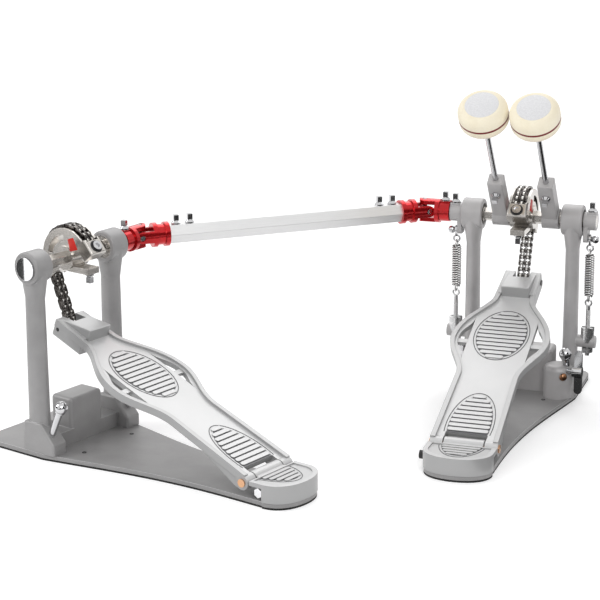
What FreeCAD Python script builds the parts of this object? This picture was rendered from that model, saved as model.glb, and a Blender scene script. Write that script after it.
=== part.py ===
import FreeCAD, Part
import math
import os
import re

# Double bass drum pedal: two pedal units side by side, joined by a telescoping drive shaft.
# Each unit has its own frame: origin on the floor under the rocker axis, +X along that axis,
# +Y towards the drum, +Z up. The main unit's frame is the frame of the whole object.

SIZES = {
    # base plate and rubber
    "rocker_height": 190.0,
    "mat_thick": 2.0,
    "plate_thick": 4.0,
    "base_front": 72.0,
    "base_front_half": 62.0,
    "base_shoulder": 11.0,
    "base_flare_in": 12.0,
    "base_flare_back": 64.0,
    "base_taper_end": 225.0,
    "base_taper_pull": 95.0,
    "base_rear": 262.0,
    "base_rear_half": 32.0,
    "base_corner": 14.0,
    # posts, feet and bearings
    "post_offset": 52.6,
    "housing_width": 22.0,
    "housing_radius": 16.0,
    "housing_edge": 2.0,
    "bearing_radius": 11.5,
    "bearing_width": 16.0,
    "journal_radius": 7.0,
    "running_gap": 0.05,
    "post_top_x": 7.0,
    "post_top_y": 11.5,
    "post_low_x": 8.0,
    "post_low_y": 12.5,
    "neck_x": 10.9,
    "neck_y": 15.8,
    "neck_start": 31.0,
    "neck_end": 2.4,
    "foot_height": 30.0,
    "foot_half": 9.3,
    "foot_front": 15.0,
    "foot_back": 26.0,
    "foot_top_front": 13.5,
    "foot_top_back": 9.0,
    "foot_edge": 2.5,
    "foot_ledge": 11.0,
    "tie_height": 15.0,
    "tie_back": 13.0,
    "tie_front": 15.0,
    "tie_rise_half": 36.0,
    "remote_rise_half": 22.0,
    "tie_rise": 46.0,
    "tie_edge": 4.0,
    # spurs
    "spur_offset": 54.0,
    "spur_back": 31.0,
    "spur_top": 55.0,
    "spur_tilt": 25.0,
    "spur_radius": 3.5,
    "spur_length": 52.0,
    "spur_head_radius": 6.5,
    "spur_collar": 5.0,
    # heel plate and hinge
    "hinge_back": 238.0,
    "hinge_height": 19.5,
    "hinge_pin_radius": 2.5,
    "pin_head_radius": 4.0,
    "pin_head_thick": 1.2,
    "knuckle_radius": 7.0,
    "cheek_long": 60.0,
    "tongue_half": 19.5,
    "tongue_gap": 1.2,
    "heel_gap": 1.8,
    "heel_half": 34.0,
    "heel_rear": 288.0,
    "heel_round": 26.0,
    "heel_top": 22.0,
    "heel_plate_in": 0.8,
    "heel_lock_back": 254.0,
    "heel_lock_height": 12.0,
    "heel_lock_radius": 2.5,
    "knob_radius": 4.2,
    "knob_length": 15.0,
    "lock_nut_long": 5.0,
    "lock_recess_deep": 9.0,
    "lock_recess_half": 7.0,
    "heel_rib_end": 277.0,
    # footboard, in its own plane: distances from the hinge along the board
    "board_angle": 22.3,
    "board_drop": 6.0,
    "board_thick": 5.0,
    "rim_rise": 2.5,
    "rim_wide": 5.0,
    "board_half": 33.5,
    "waist_at": 95.0,
    "waist_half": 31.5,
    "waist_pull": 22.0,
    "belly_at": 154.0,
    "belly_half": 50.5,
    "belly_pull": 34.0,
    "neck_at": 224.0,
    "neck_half": 21.0,
    "neck_pull": 18.0,
    "toe_at": 268.0,
    "toe_half": 19.0,
    "slot_low": 120.0,
    "slot_high": 190.0,
    "slot_in": 32.5,
    "slot_out": 43.0,
    "bridge_wide": 6.0,
    "hinge_slot": 3.5,
    "rib_pitch": 6.3,
    "rib_wide": 4.6,
    "rib_rise": 0.9,
    "rib_inset": 1.5,
    "oval_at": 163.0,
    "oval_long": 38.0,
    "oval_half": 26.5,
    "heel_oval_at": 22.0,
    "heel_oval_long": 47.0,
    "heel_oval_half": 22.0,
    "stop_at": 227.0,
    "stop_half": 14.5,
    "stop_rise": 13.0,
    "box_at": 229.0,
    "box_half": 19.5,
    "box_rise": 3.0,
    "box_drop": 15.0,
    "box_edge": 2.0,
    # chain and cam
    "chain_pin_at": 262.0,
    "chain_pin_radius": 2.0,
    "chain_eye_gap": 1.7,
    "chain_pitch": 6.35,
    "chain_half": 6.6,
    "chain_plate": 0.9,
    "chain_plate_half": 2.7,
    "chain_row": 2.95,
    "chain_roller": 2.1,
    "chain_rivet": 1.1,
    "chain_wrap": 150.0,
    "chain_slot_gap": 1.6,
    "cam_pitch_radius": 29.5,
    "cam_seat_gap": 0.3,
    "cam_rim": 2.6,
    "cam_side_gap": 1.2,
    "cam_chord": 4.0,
    "cam_hub_radius": 12.0,
    "cam_hub_width": 24.0,
    "cam_slot_in": 16.5,
    "cam_slot_out": 22.5,
    "anchor_reach": 34.0,
    "anchor_in": 20.0,
    "anchor_low": 17.0,
    "anchor_screw": 4.8,
    "anchor_screw_rise": 2.5,
    "cam_clamp_top": 8.0,
    "cam_clamp_drop": 6.0,
    "cam_clamp_long": 28.0,
    "cam_clamp_half": 7.5,
    # rocker shafts, hubs and beaters
    "shaft_flats": 12.0,
    "shaft_joint": 12.0,
    "pilot_radius": 3.0,
    "pilot_length": 10.0,
    "cap_radius": 11.3,
    "cap_thick": 1.5,
    "hub_left": 22.4,
    "hub_right": 29.7,
    "hub_width": 17.5,
    "hub_radius": 10.5,
    "hub_block_half": 8.0,
    "hub_block_deep": 7.5,
    "hub_reach": 57.0,
    "hub_edge": 1.5,
    "hub_screw_at": 40.0,
    "beater_lean": 36.5,
    "beater_rod_radius": 3.0,
    "beater_rod_start": 30.0,
    "head_radius": 25.2,
    "head_low": 139.0,
    "head_thick": 28.0,
    "head_round": 9.0,
    "head_cap": 2.5,
    # spring levers and springs
    "lever_gap": 0.7,
    "lever_thick": 4.5,
    "lever_half": 8.0,
    "lever_drop": 22.0,
    "lever_boss_radius": 9.4,
    "lever_boss_end": 77.0,
    "stud_drop": 19.0,
    "stud_radius": 1.8,
    "stud_slack": 1.5,
    "ball_radius": 4.2,
    "swivel_gap": 1.0,
    "swivel_thick": 2.0,
    "swivel_half": 4.6,
    "ring_radius": 3.2,
    "ring_wire": 1.0,
    "hook_gap": 0.3,
    "swivel_drop": 9.4,
    "spring_wire": 0.8,
    "spring_radius": 4.2,
    "spring_turns": 18.0,
    "spring_pitch": 2.25,
    "hook_rise": 0.9,
    "tension_rod_radius": 2.25,
    "tension_rod_end": 46.0,
    "boss_radius": 6.5,
    "boss_height": 61.0,
    "boss_out": 8.5,
    "bore_gap": 0.3,
    "nut_radius": 7.0,
    "nut_high": 9.0,
    "lock_nut_radius": 5.0,
    "lock_nut_high": 5.0,
    # hoop clamp on the main unit
    "jaw_half": 18.0,
    "jaw_thick": 6.0,
    "jaw_back": 26.0,
    "jaw_front": 68.0,
    "jaw_height": 21.0,
    "jaw_pin_radius": 2.5,
    "jaw_ear": 6.0,
    "jaw_gap": 0.4,
    "wing_back": 30.0,
    "wing_height": 36.0,
    "wing_span": 23.0,
    "wing_thick": 4.0,
    "wing_wide": 8.0,
    "wing_hub_radius": 6.0,
    "wing_shank_radius": 3.0,
    "wing_shank": 14.0,
    "wing_gap": 2.0,
    "cover_radius": 15.0,
    "cover_high": 35.0,
    "cover_edge": 6.0,
    # drive shaft
    "main_joint": 105.5,
    "remote_joint": 97.0,
    "shaft_angle": 38.6,
    "shaft_span": 312.0,
    "remote_turn": 70.4,
    "yoke_radius": 12.5,
    "yoke_hub_radius": 10.6,
    "yoke_collar": 4.5,
    "yoke_base": 12.5,
    "yoke_long": 15.4,
    "tube_yoke_long": 17.0,
    "ear_radius": 6.0,
    "ear_in": 7.0,
    "cross_radius": 2.4,
    "cross_core": 5.0,
    "cross_play": 0.45,
    "tube_flats": 18.5,
    "tube_bore": 7.0,
    "rod_reach": 130.0,
    "rod_play": 0.3,
    "tube_bolt_inset": 8.5,
    "tube_bolt_pitch": 14.5,
    # drum-key bolts
    "key_flange": 4.6,
    "key_flange_high": 1.5,
    "key_cone_high": 2.5,
    "key_square": 5.2,
    "key_square_high": 5.5,
    "key_pad": 0.8,
    "fit_gap": 0.03,
    "run_over": 1.0,
}

V = FreeCAD.Vector
X_AXIS = V(1, 0, 0)
Y_AXIS = V(0, 1, 0)
Z_AXIS = V(0, 0, 1)

doc = FreeCAD.newDocument("double_bass_drum_pedal")
sheet = doc.addObject("Spreadsheet::Sheet", "Sizes")
for row, (alias, number) in enumerate(SIZES.items(), start=1):
    sheet.set("A%d" % row, alias)
    sheet.set("B%d" % row, str(number))
    sheet.setAlias("B%d" % row, alias)
doc.recompute()

NODES = []

# Margin for telling edges and faces apart by their place
PICK = 0.1


def bound(text):
    """Expression text with each size name pointed at its cell of the sheet."""
    def cell(match):
        word = match.group()
        return "Sizes." + word if word in SIZES else word
    return re.sub(r"[a-z][a-z_0-9]*", cell, text)


def val(text):
    """Number that a size expression gives, read from the sheet."""
    names = {name: sheet.get(name) for name in re.findall(r"[a-z][a-z_0-9]*", text)}
    total = 0.0
    sign = 1.0
    for token in re.findall(r"[+-]|[^+-]+", text.replace(" ", "")):
        if token in "+-":
            sign = 1.0 if token == "+" else -1.0
            continue
        term = 1.0
        for mark, factor in re.findall(r"([*/]?)([a-z_0-9.]+)", token):
            number = names[factor] if factor in names else float(factor)
            term = term / number if mark == "/" else term * number
        total += sign * term
        sign = 1.0
    return total


def tie(obj, **sizes):
    for name, text in sizes.items():
        obj.setExpression(name, bound(text))
    return obj


def put(obj, at, turn=FreeCAD.Rotation()):
    """Turn a piece and tie its place to the sheet."""
    obj.Placement = FreeCAD.Placement(V(), turn)
    for name, text in zip("xyz", at):
        if text != "0":
            obj.setExpression("Placement.Base." + name, bound(text))
    return obj


def block(x, y, z):
    """Box between a low and a high bound on each axis."""
    obj = doc.addObject("Part::Box", "block")
    for name, (low, high) in zip(("Length", "Width", "Height"), (x, y, z)):
        obj.setExpression(name, bound("(%s) - (%s)" % (high, low)))
    return put(obj, (x[0], y[0], z[0]))


TURNS = {
    "x": FreeCAD.Rotation(Y_AXIS, 90),
    "y": FreeCAD.Rotation(X_AXIS, -90),
    "z": FreeCAD.Rotation(),
}


def along(axis, low, at):
    """Place of a round piece: its low end on its axis, then the other two coordinates."""
    spot = list(at)
    spot.insert("xyz".index(axis), low)
    return spot


def ordered(near, far, side):
    """Two distances from the middle as low and high X on one side."""
    if side > 0:
        return (near, far)
    return ("-(%s)" % far, "-(%s)" % near)


def bar(axis, radius, low, high, at=("0", "0")):
    obj = tie(doc.addObject("Part::Cylinder", "bar"), Radius=radius, Height="(%s) - (%s)" % (high, low))
    return put(obj, along(axis, low, at), TURNS[axis])


def hex_bar(axis, flats, low, high, at=("0", "0")):
    obj = doc.addObject("Part::Prism", "hex_bar")
    obj.Polygon = 6
    tie(obj, Circumradius="(%s) / sqrt(3)" % flats, Height="(%s) - (%s)" % (high, low))
    return put(obj, along(axis, low, at), TURNS[axis])


def cone(axis, radius_low, radius_high, low, high, at=("0", "0")):
    obj = tie(doc.addObject("Part::Cone", "cone"), Radius1=radius_low, Radius2=radius_high,
              Height="(%s) - (%s)" % (high, low))
    return put(obj, along(axis, low, at), TURNS[axis])


def ball(radius, at):
    return put(tie(doc.addObject("Part::Sphere", "ball"), Radius=radius), at)


def ring(major, minor, at):
    """Torus standing in the XZ plane."""
    obj = tie(doc.addObject("Part::Torus", "ring"), Radius1=major, Radius2=minor)
    return put(obj, at, FreeCAD.Rotation(X_AXIS, 90))


def taper(low_x, low_y, high_x, high_y, z):
    """Block whose rectangle changes from its foot to its top."""
    obj = doc.addObject("Part::Wedge", "taper")
    tie(obj, Xmin=low_x[0], Xmax=low_x[1], Zmin="-(%s)" % low_y[1], Zmax="-(%s)" % low_y[0])
    tie(obj, X2min=high_x[0], X2max=high_x[1], Z2min="-(%s)" % high_y[1], Z2max="-(%s)" % high_y[0])
    tie(obj, Ymin=z[0], Ymax=z[1])
    return put(obj, ("0", "0", "0"), FreeCAD.Rotation(X_AXIS, 90))


def oval(half_x, half_y, at):
    obj = tie(doc.addObject("Part::Ellipse", "oval"), MajorRadius=half_y, MinorRadius=half_x)
    return put(obj, at, FreeCAD.Rotation(Z_AXIS, 90))


def column(*ovals):
    obj = doc.addObject("Part::Loft", "column")
    obj.Sections = list(ovals)
    obj.Solid = True
    obj.Ruled = True
    return obj


def fuse(*objs):
    obj = doc.addObject("Part::MultiFuse", "joined")
    obj.Refine = False
    obj.Shapes = list(objs)
    return obj


def cut(base, *tools):
    obj = doc.addObject("Part::Cut", "cut")
    obj.Refine = False
    obj.Base = base
    obj.Tool = tools[0] if len(tools) == 1 else fuse(*tools)
    return obj


def common(*objs):
    obj = doc.addObject("Part::MultiCommon", "shared")
    obj.Refine = False
    obj.Shapes = list(objs)
    return obj


def group(*objs):
    obj = doc.addObject("Part::Compound", "group")
    obj.Links = list(objs)
    return obj


def rounded(base, radius, wanted):
    """Round the edges of a piece that pass a test."""
    doc.recompute([base])
    obj = doc.addObject("Part::Fillet", "rounded")
    obj.Base = base
    edges = enumerate(base.Shape.Edges, start=1)
    obj.Edges = [(number, val(radius), val(radius)) for number, edge in edges if wanted(edge)]
    return obj


def middle(edge):
    return edge.BoundBox.Center


def feature(shape):
    obj = doc.addObject("Part::Feature", "form")
    obj.Shape = shape
    return obj


def node(label, obj, pose=FreeCAD.Placement()):
    """Keep a finished piece under its name, at its place in the object."""
    piece = obj if obj.isDerivedFrom("PartDesign::Body") else group(obj)
    piece.Label = label
    piece.Placement = pose
    NODES.append(piece)
    return piece


def curve(points):
    """Straight edge through two points, or a smooth curve pulled by four."""
    points = [V(x, y, 0) for x, y in points]
    if len(points) == 2:
        return Part.LineSegment(points[0], points[1])
    bezier = Part.BezierCurve()
    bezier.setPoles(points)
    return bezier.toBSpline()


def mirrored(side):
    """Closed outline from its right-hand side, listed from the rear to the front."""
    left = [[(-x, y) for x, y in reversed(part)] for part in reversed(side)]
    ends = []
    if side[-1][-1][0] > 0:
        ends.append([side[-1][-1], left[0][0]])
    if side[0][0][0] > 0:
        ends.append([left[-1][-1], side[0][0]])
    return [curve(part) for part in side + ends[:1] + left + ends[1:]]


def sketch(body, height, curves):
    """Sketch on the body's own XY plane, raised to a height."""
    obj = body.newObject("Sketcher::SketchObject", "outline")
    plane = [item for item in body.Origin.OriginFeatures if item.Role == "XY_Plane"][0]
    obj.AttachmentSupport = (plane, [""])
    obj.MapMode = "FlatFace"
    obj.setExpression("AttachmentOffset.Base.z", bound(height))
    obj.addGeometry(curves)
    return obj


def pad(body, height, length, curves):
    obj = body.newObject("PartDesign::Pad", "pad")
    obj.Profile = sketch(body, height, curves)
    return tie(obj, Length=length)


def pocket(body, height, depth, curves):
    doc.recompute([body])
    before = body.Shape.Volume
    obj = body.newObject("PartDesign::Pocket", "pocket")
    obj.Profile = sketch(body, height, curves)
    tie(obj, Length=depth)
    doc.recompute([body])
    if body.Shape.Volume >= before:
        raise ValueError("a pocket of %s cuts nothing" % body.Name)
    return obj


def rectangle(half, low, high):
    return mirrored([[(half, low), (half, high)]])


def rib_rows(first, last, at, long, half):
    """Round-ended ribs across an oval, one every pitch between two distances."""
    edges = []
    reach = val("rib_wide") / 2
    count = int((last - first) / val("rib_pitch"))
    for number in range(count + 1):
        spot = first + number * val("rib_pitch")
        share = max(0.0, 1 - ((spot - at) / long) ** 2)
        end = half * math.sqrt(share) - reach - val("rib_inset")
        if end < reach:
            continue
        low, high = spot - reach, spot + reach
        edges.append(Part.LineSegment(V(-end, low, 0), V(end, low, 0)))
        edges.append(Part.Arc(V(end, low, 0), V(end + reach, spot, 0), V(end, high, 0)))
        edges.append(Part.LineSegment(V(end, high, 0), V(-end, high, 0)))
        edges.append(Part.Arc(V(-end, high, 0), V(-end - reach, spot, 0), V(-end, low, 0)))
    return edges


def key_bolt(x, y, seat):
    """Square-headed drum-key bolt standing on a flat seat."""
    cone_low = "%s + key_flange_high" % seat
    square_low = "%s + key_cone_high" % cone_low
    flange = bar("z", "key_flange", seat, cone_low, (x, y))
    neck = cone("z", "key_flange", "key_square / 2", cone_low, square_low, (x, y))
    sides = [("%s - key_square / 2" % place, "%s + key_square / 2" % place) for place in (x, y)]
    square = block(sides[0], sides[1], (square_low, "%s + key_square_high" % square_low))
    return fuse(flange, neck, square)


def turned(obj, turn, at=V()):
    """Piece modelled upright, turned and moved to its seat."""
    piece = group(obj)
    piece.Placement = FreeCAD.Placement(at, turn)
    return piece


# Places that several pieces share
board_lift = FreeCAD.Rotation(X_AXIS, val("board_angle"))
hinge_point = V(0, -val("hinge_back"), val("hinge_height"))
board_place = FreeCAD.Placement(hinge_point, board_lift)
rocker_point = V(0, 0, val("rocker_height"))
lean = FreeCAD.Rotation(X_AXIS, val("beater_lean"))
yaw = FreeCAD.Rotation(Z_AXIS, val("remote_turn"))
main_joint_point = V(-val("main_joint"), 0, val("rocker_height"))
shaft_turn = FreeCAD.Rotation(Z_AXIS, 180 + val("shaft_angle"))
remote_joint_point = main_joint_point + shaft_turn.multVec(V(val("shaft_span"), 0, 0))
remote_origin = remote_joint_point - yaw.multVec(V(val("remote_joint"), 0, val("rocker_height")))
MAIN = FreeCAD.Placement()
REMOTE = FreeCAD.Placement(remote_origin, yaw)
shaft_place = FreeCAD.Placement(main_joint_point, shaft_turn)
spring_line = "post_offset + housing_width / 2 + lever_gap + lever_thick + swivel_gap + swivel_thick / 2"


# Base plate with its rubber mat, both with a round end under the heel

def base_outline():
    rear = val("base_rear_half")
    front = val("base_front_half")
    taper_end = -val("base_taper_end")
    shoulder = -val("base_shoulder")
    flare = (front - val("base_flare_in"), shoulder - val("base_flare_back"))
    pull = (rear, taper_end + val("base_taper_pull"))
    return mirrored([
        [(rear, -val("base_rear")), (rear, taper_end)],
        [(rear, taper_end), pull, flare, (front, shoulder)],
        [(front, shoulder), (front, val("base_front"))],
    ])


def base_sheet(name, height, thick):
    body = doc.addObject("PartDesign::Body", name)
    plate = pad(body, height, thick, base_outline())
    doc.recompute([plate])
    front = val("base_front") - PICK
    names = ["Edge%d" % number for number, edge in enumerate(plate.Shape.Edges, start=1)
             if middle(edge).y > front and edge.BoundBox.ZLength > val(thick) / 2]
    corner = body.newObject("PartDesign::Fillet", "corners")
    corner.Base = (plate, names)
    tie(corner, Radius="base_corner")
    return body


def heel_outline(inset):
    half = val("heel_half") - inset
    rear = -val("heel_rear") + inset
    bend = rear + val("heel_round") - inset
    front = val("hinge_back") + val("knuckle_radius") + val("heel_gap")
    tongue = val("tongue_half")
    return [
        [(0, rear), (half * 0.6, rear), (half, bend - (bend - rear) * 0.6), (half, bend)],
        [(half, bend), (half, -front)],
        [(half, -front), (tongue, -front)],
        [(tongue, -front), (tongue, -val("hinge_back"))],
    ]


def heel_bowl(inset):
    """Heel outline without its hinge tongue, for the rim's inner edge and the plate under the heel."""
    side = heel_outline(inset)[:2]
    end = side[1][1]
    side[1] = [side[1][0], (end[0], end[1] - inset * 0.4)]
    return side


def heel_end(name, height, thick):
    """Round end of a base sheet under the heel plate."""
    body = doc.addObject("PartDesign::Body", name)
    side = heel_bowl(val("heel_plate_in"))[:1]
    side.append([side[0][-1], (side[0][-1][0], -val("base_rear - heel_plate_in"))])
    pad(body, height, thick, mirrored(side))
    return body


def base_group(name, pose):
    for word, height, thick in (("plate", "mat_thick", "plate_thick"), ("mat", "0", "mat_thick")):
        part = "%s_%s" % (name, word)
        sheet_body = base_sheet(part, height, thick)
        node("%s_base_%s" % (name, word), fuse(sheet_body, heel_end(part + "_end", height, thick)), pose)


# Heel plate: casting with a raised rim, ribs and the hinge tongue

def heel_group(name, pose):
    body = doc.addObject("PartDesign::Body", name + "_heel")
    floor = "mat_thick + plate_thick"
    pad(body, floor, "heel_top + rim_rise / 2 - mat_thick - plate_thick", mirrored(heel_outline(0)))
    pocket(body, "heel_top + rim_rise / 2", "rim_rise / 2", mirrored(heel_bowl(val("rim_wide"))))
    rear = val("heel_rib_end")
    hinge = val("hinge_back")
    front = hinge + val("knuckle_radius + heel_gap + rib_wide")
    rows = rib_rows(-rear, -front, -hinge, rear - hinge, val("heel_oval_half"))
    pad(body, "heel_top", "rib_rise", rows)
    axis = ("-hinge_back", "hinge_height")
    tongue = bar("x", "knuckle_radius", "-tongue_half", "tongue_half", axis)
    pin_bore = bar("x", "hinge_pin_radius + running_gap", "-heel_half", "heel_half", axis)
    lock_at = ("-heel_lock_back", "heel_lock_height")
    lock_bore = bar("x", "heel_lock_radius + running_gap", "-heel_half - run_over", "heel_half + run_over",
                    lock_at)
    recess_in = "heel_half - lock_recess_deep"
    recesses = [block(ordered(recess_in, "heel_half + run_over", side),
                      ("-heel_lock_back - lock_recess_half", "-hinge_back"),
                      (floor + " - run_over", "heel_lock_height + lock_recess_half")) for side in (-1, 1)]
    node(name + "_heel_plate", cut(fuse(body, tongue), pin_bore, lock_bore, *recesses), pose)
    head = "board_half + fit_gap"
    pin = bar("x", "hinge_pin_radius", "-board_half - fit_gap", head, axis)
    heads = [bar("x", "pin_head_radius", *ordered(head, head + " + pin_head_thick", side), axis)
             for side in (-1, 1)]
    nut_end = recess_in + " + lock_nut_long"
    lock = bar("x", "heel_lock_radius", "-(%s)" % nut_end, nut_end, lock_at)
    knob_side = -1 if pose is MAIN else 1
    start = recess_in + " + fit_gap"
    knob = bar("x", "knob_radius", *ordered(start, recess_in + " + knob_length", knob_side), lock_at)
    nut = hex_bar("x", "2 * knob_radius", *ordered(start, nut_end, -knob_side), lock_at)
    node(name + "_heel_pins", group(fuse(pin, *heads), fuse(lock, knob, nut)), pose)


# Post castings: foot, oval column and bearing housing in one piece

def foot_block(side):
    """Short foot: steep front, flat top and a back that slopes down to a low ledge."""
    ground = val("mat_thick + plate_thick")
    top = ground + val("foot_height")
    ledge = ground + val("foot_ledge")
    start = val("post_offset") * side - val("foot_half")
    profile = [(val("foot_front"), ground), (val("foot_top_front"), top), (-val("foot_top_back"), top),
               (-val("foot_back"), ledge), (-val("foot_back"), ground)]
    points = [V(start, y, z) for y, z in profile]
    face = Part.Face(Part.makePolygon(points + points[:1]))
    return feature(face.extrude(V(2 * val("foot_half"), 0, 0)))


def post(side, sprung, covered):
    at = "post_offset * %d" % side
    ground = "mat_thick + plate_thick"
    base = val(ground) + PICK
    foot = rounded(foot_block(side), "foot_edge", lambda edge: middle(edge).z > base)
    leg = column(oval("post_low_x", "post_low_y", (at, "0", ground + " + foot_ledge")),
                 oval("post_top_x", "post_top_y", (at, "0", "rocker_height - neck_start")),
                 oval("neck_x", "neck_y", (at, "0", "rocker_height - neck_end")))
    ends = (at + " - housing_width / 2", at + " + housing_width / 2")
    axis = ("0", "rocker_height")
    housing = rounded(bar("x", "housing_radius", *ends, axis), "housing_edge",
                      lambda edge: edge.BoundBox.XLength < PICK)
    solids = [foot, leg, housing]
    tools = [bar("x", "bearing_radius + fit_gap", ends[0] + " - run_over", ends[1] + " + run_over", axis),
             spur_bar("spur_radius + running_gap", side, "spur_length + run_over")]
    if sprung:
        line = "(%s) * %d" % (spring_line, side)
        reach = ordered("post_offset", spring_line + " + boss_out", side)
        solids.append(bar("x", "boss_radius", *reach, ("0", "boss_height")))
        tools.append(bar("z", "tension_rod_radius + bore_gap", "boss_height - 2 * boss_radius",
                         "boss_height + 2 * boss_radius", (line, "0")))
    if covered:
        spot = (at + " - foot_half + wing_gap", "-wing_back + cover_radius / 2")
        cover = bar("z", "cover_radius", ground, ground + " + cover_high", spot)
        solids.append(rounded(cover, "cover_edge", lambda edge: middle(edge).z > base + val("cover_edge")))
        outside = at + " + foot_half"
        tools.append(bar("x", "wing_shank_radius + running_gap", outside + " - wing_shank - wing_gap",
                         outside + " + run_over", ("-wing_back", "wing_height")))
    return cut(fuse(*solids), *tools)


def spur_bar(radius, side, length):
    """Round bar along a spur's sloping line, from under its head downwards."""
    obj = tie(doc.addObject("Part::Cylinder", "spur"), Radius=radius, Height=length)
    turn = FreeCAD.Rotation(X_AXIS, 180 + val("spur_tilt"))
    return put(obj, ("spur_offset * %d" % side, "-spur_back", "spur_top"), turn)


def spur(side):
    shank = spur_bar("spur_radius", side, "spur_length - spur_radius")
    collar = spur_bar("spur_head_radius * 0.8", side, "spur_collar")
    top = ball("spur_head_radius", ("spur_offset * %d" % side, "-spur_back", "spur_top"))
    point = doc.addObject("Part::Cone", "point")
    tie(point, Radius1="spur_radius", Radius2="spur_radius / 4", Height="spur_radius")
    turn = FreeCAD.Rotation(X_AXIS, 180 + val("spur_tilt"))
    tip = turn.multVec(V(0, 0, val("spur_length - spur_radius")))
    start = V(val("spur_offset") * side, -val("spur_back"), val("spur_top"))
    point.Placement = FreeCAD.Placement(start + tip, turn)
    return fuse(shank, collar, top, point)


def frame_group(name, pose):
    main = pose is MAIN
    for word, side in (("left", -1), ("right", 1)):
        node("%s_%s_post" % (name, word), post(side, main, main and side > 0), pose)
        node("%s_%s_spur" % (name, word), spur(side), pose)
    axis = ("0", "rocker_height")
    rings = []
    for side in (-1, 1):
        mid = "post_offset * %d" % side
        ends = (mid + " - bearing_width / 2", mid + " + bearing_width / 2")
        rings.append(cut(bar("x", "bearing_radius", *ends, axis),
                         bar("x", "journal_radius + running_gap", *ends, axis)))
    node(name + "_bearings", group(*rings), pose)
    inner = "post_offset - foot_half"
    ground = "mat_thick + plate_thick"
    deep = ("-tie_back", "tie_front")
    low_tie = block(("-(%s)" % inner, inner), deep, (ground, ground + " + tie_height"))
    half = "tie_rise_half" if main else "remote_rise_half"
    rise = block(("-" + half, half), deep, (ground, ground + " + tie_rise"))
    base = val(ground) + PICK
    rise = rounded(rise, "tie_edge", lambda edge: middle(edge).z > base)
    casting = fuse(low_tie, rise)
    if main:
        casting = jaw_seat(casting)
    node(name + "_cross_tie", casting, pose)


# Hoop clamp of the main unit: a hinged jaw over the base plate's front edge, set by a wing bolt

def jaw_seat(casting):
    """Cross tie with two ears for the jaw's pin and room for the wing bolt's cover."""
    ear_x = [("jaw_half + jaw_gap", "jaw_half + jaw_gap + jaw_ear"),
             ("-jaw_half - jaw_gap - jaw_ear", "-jaw_half - jaw_gap")]
    top = "jaw_height + 2 * jaw_thick"
    deep = ("tie_front", "jaw_back + 3 * jaw_pin_radius")
    ears = [block(x, deep, ("jaw_height - jaw_thick / 2", top)) for x in ear_x]
    pin_at = ("jaw_back + jaw_pin_radius", "jaw_height + jaw_thick / 2")
    pin = bar("x", "jaw_pin_radius", ear_x[1][0], ear_x[0][1], pin_at)
    room = bar("z", "cover_radius + jaw_gap", "0", "rocker_height / 2",
               ("post_offset - foot_half + wing_gap", "-wing_back + cover_radius / 2"))
    return cut(fuse(casting, pin, *ears), room)


def hoop_clamp():
    pin_at = ("jaw_back + jaw_pin_radius", "jaw_height + jaw_thick / 2")
    plate = block(("-jaw_half", "jaw_half"), ("jaw_back + jaw_pin_radius", "jaw_front"),
                  ("jaw_height", "jaw_height + jaw_thick"))
    lip = block(("-jaw_half", "jaw_half"), ("jaw_front - jaw_thick", "jaw_front"),
                ("jaw_height - jaw_thick / 2", "jaw_height"))
    barrel = bar("x", "jaw_thick / 2", "-jaw_half", "jaw_half", pin_at)
    bore = bar("x", "jaw_pin_radius + running_gap", "-jaw_half - run_over", "jaw_half + run_over", pin_at)
    wide = bar("x", "jaw_pin_radius + 2", "-jaw_half", "jaw_half", pin_at)
    node("hoop_jaw", cut(fuse(plate, lip, barrel, wide), bore))
    outside = "post_offset + foot_half"
    axis = ("-wing_back", "wing_height")
    shank = bar("x", "wing_shank_radius", outside + " - wing_shank", outside + " + wing_gap", axis)
    hub_end = outside + " + wing_gap + wing_wide"
    hub = bar("x", "wing_hub_radius", outside + " + fit_gap", hub_end, axis)
    wings = block((outside + " + wing_gap", hub_end),
                  ("-wing_back - wing_thick / 2", "-wing_back + wing_thick / 2"),
                  ("wing_height - wing_span", "wing_height + wing_span"))
    long_edges = rounded(wings, "wing_thick * 0.9",
                         lambda edge: edge.BoundBox.YLength > val("wing_thick") / 2)
    return shank, hub, long_edges


# Footboard: casting with a raised rim, arched slots, ribs, toe stop and chain box

def board_outline(inset, low):
    half = val("board_half") - inset
    waist = val("waist_half") - inset
    belly = val("belly_half") - inset
    neck = val("neck_half") - inset
    toe = val("toe_half") - inset
    waist_at = val("waist_at")
    belly_at = val("belly_at")
    neck_at = val("neck_at")
    return mirrored([
        [(half, low), (waist, waist_at)],
        [(waist, waist_at), (waist, waist_at + val("waist_pull")),
         (belly, belly_at - val("waist_pull")), (belly, belly_at)],
        [(belly, belly_at), (belly, belly_at + val("belly_pull")),
         (neck, neck_at - val("neck_pull")), (neck, neck_at)],
        [(neck, neck_at), (toe, val("toe_at") - inset)],
    ])


def arched_slot(side):
    inner = val("slot_in")
    outer = val("slot_out")
    low = val("slot_low")
    high = val("slot_high")
    belly = val("belly_at")
    parts = [
        [(inner, high), (inner, low)],
        [(inner, low), (inner, (low + belly) / 2), (outer, (low + belly) / 2), (outer, belly)],
        [(outer, belly), (outer, (high + belly) / 2), (inner, (high + belly) / 2), (inner, high)],
    ]
    return [curve([(side * x, y) for x, y in part]) for part in parts]


def toe_stop():
    """Wedge in front of the toes: upright towards the foot, sloping down to the chain."""
    low = val("board_drop - run_over")
    toe = val("toe_at - box_edge")
    profile = [(val("stop_at"), low), (val("stop_at"), val("board_drop + stop_rise")),
               (toe, val("board_drop + box_rise")), (toe, low)]
    points = [V(-val("stop_half"), y, z) for y, z in profile]
    face = Part.Face(Part.makePolygon(points + points[:1]))
    wedge = feature(face.extrude(V(2 * val("stop_half"), 0, 0)))
    top = val("board_drop + box_rise") + PICK
    return rounded(wedge, "box_edge / 2", lambda edge: middle(edge).z > top)


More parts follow.
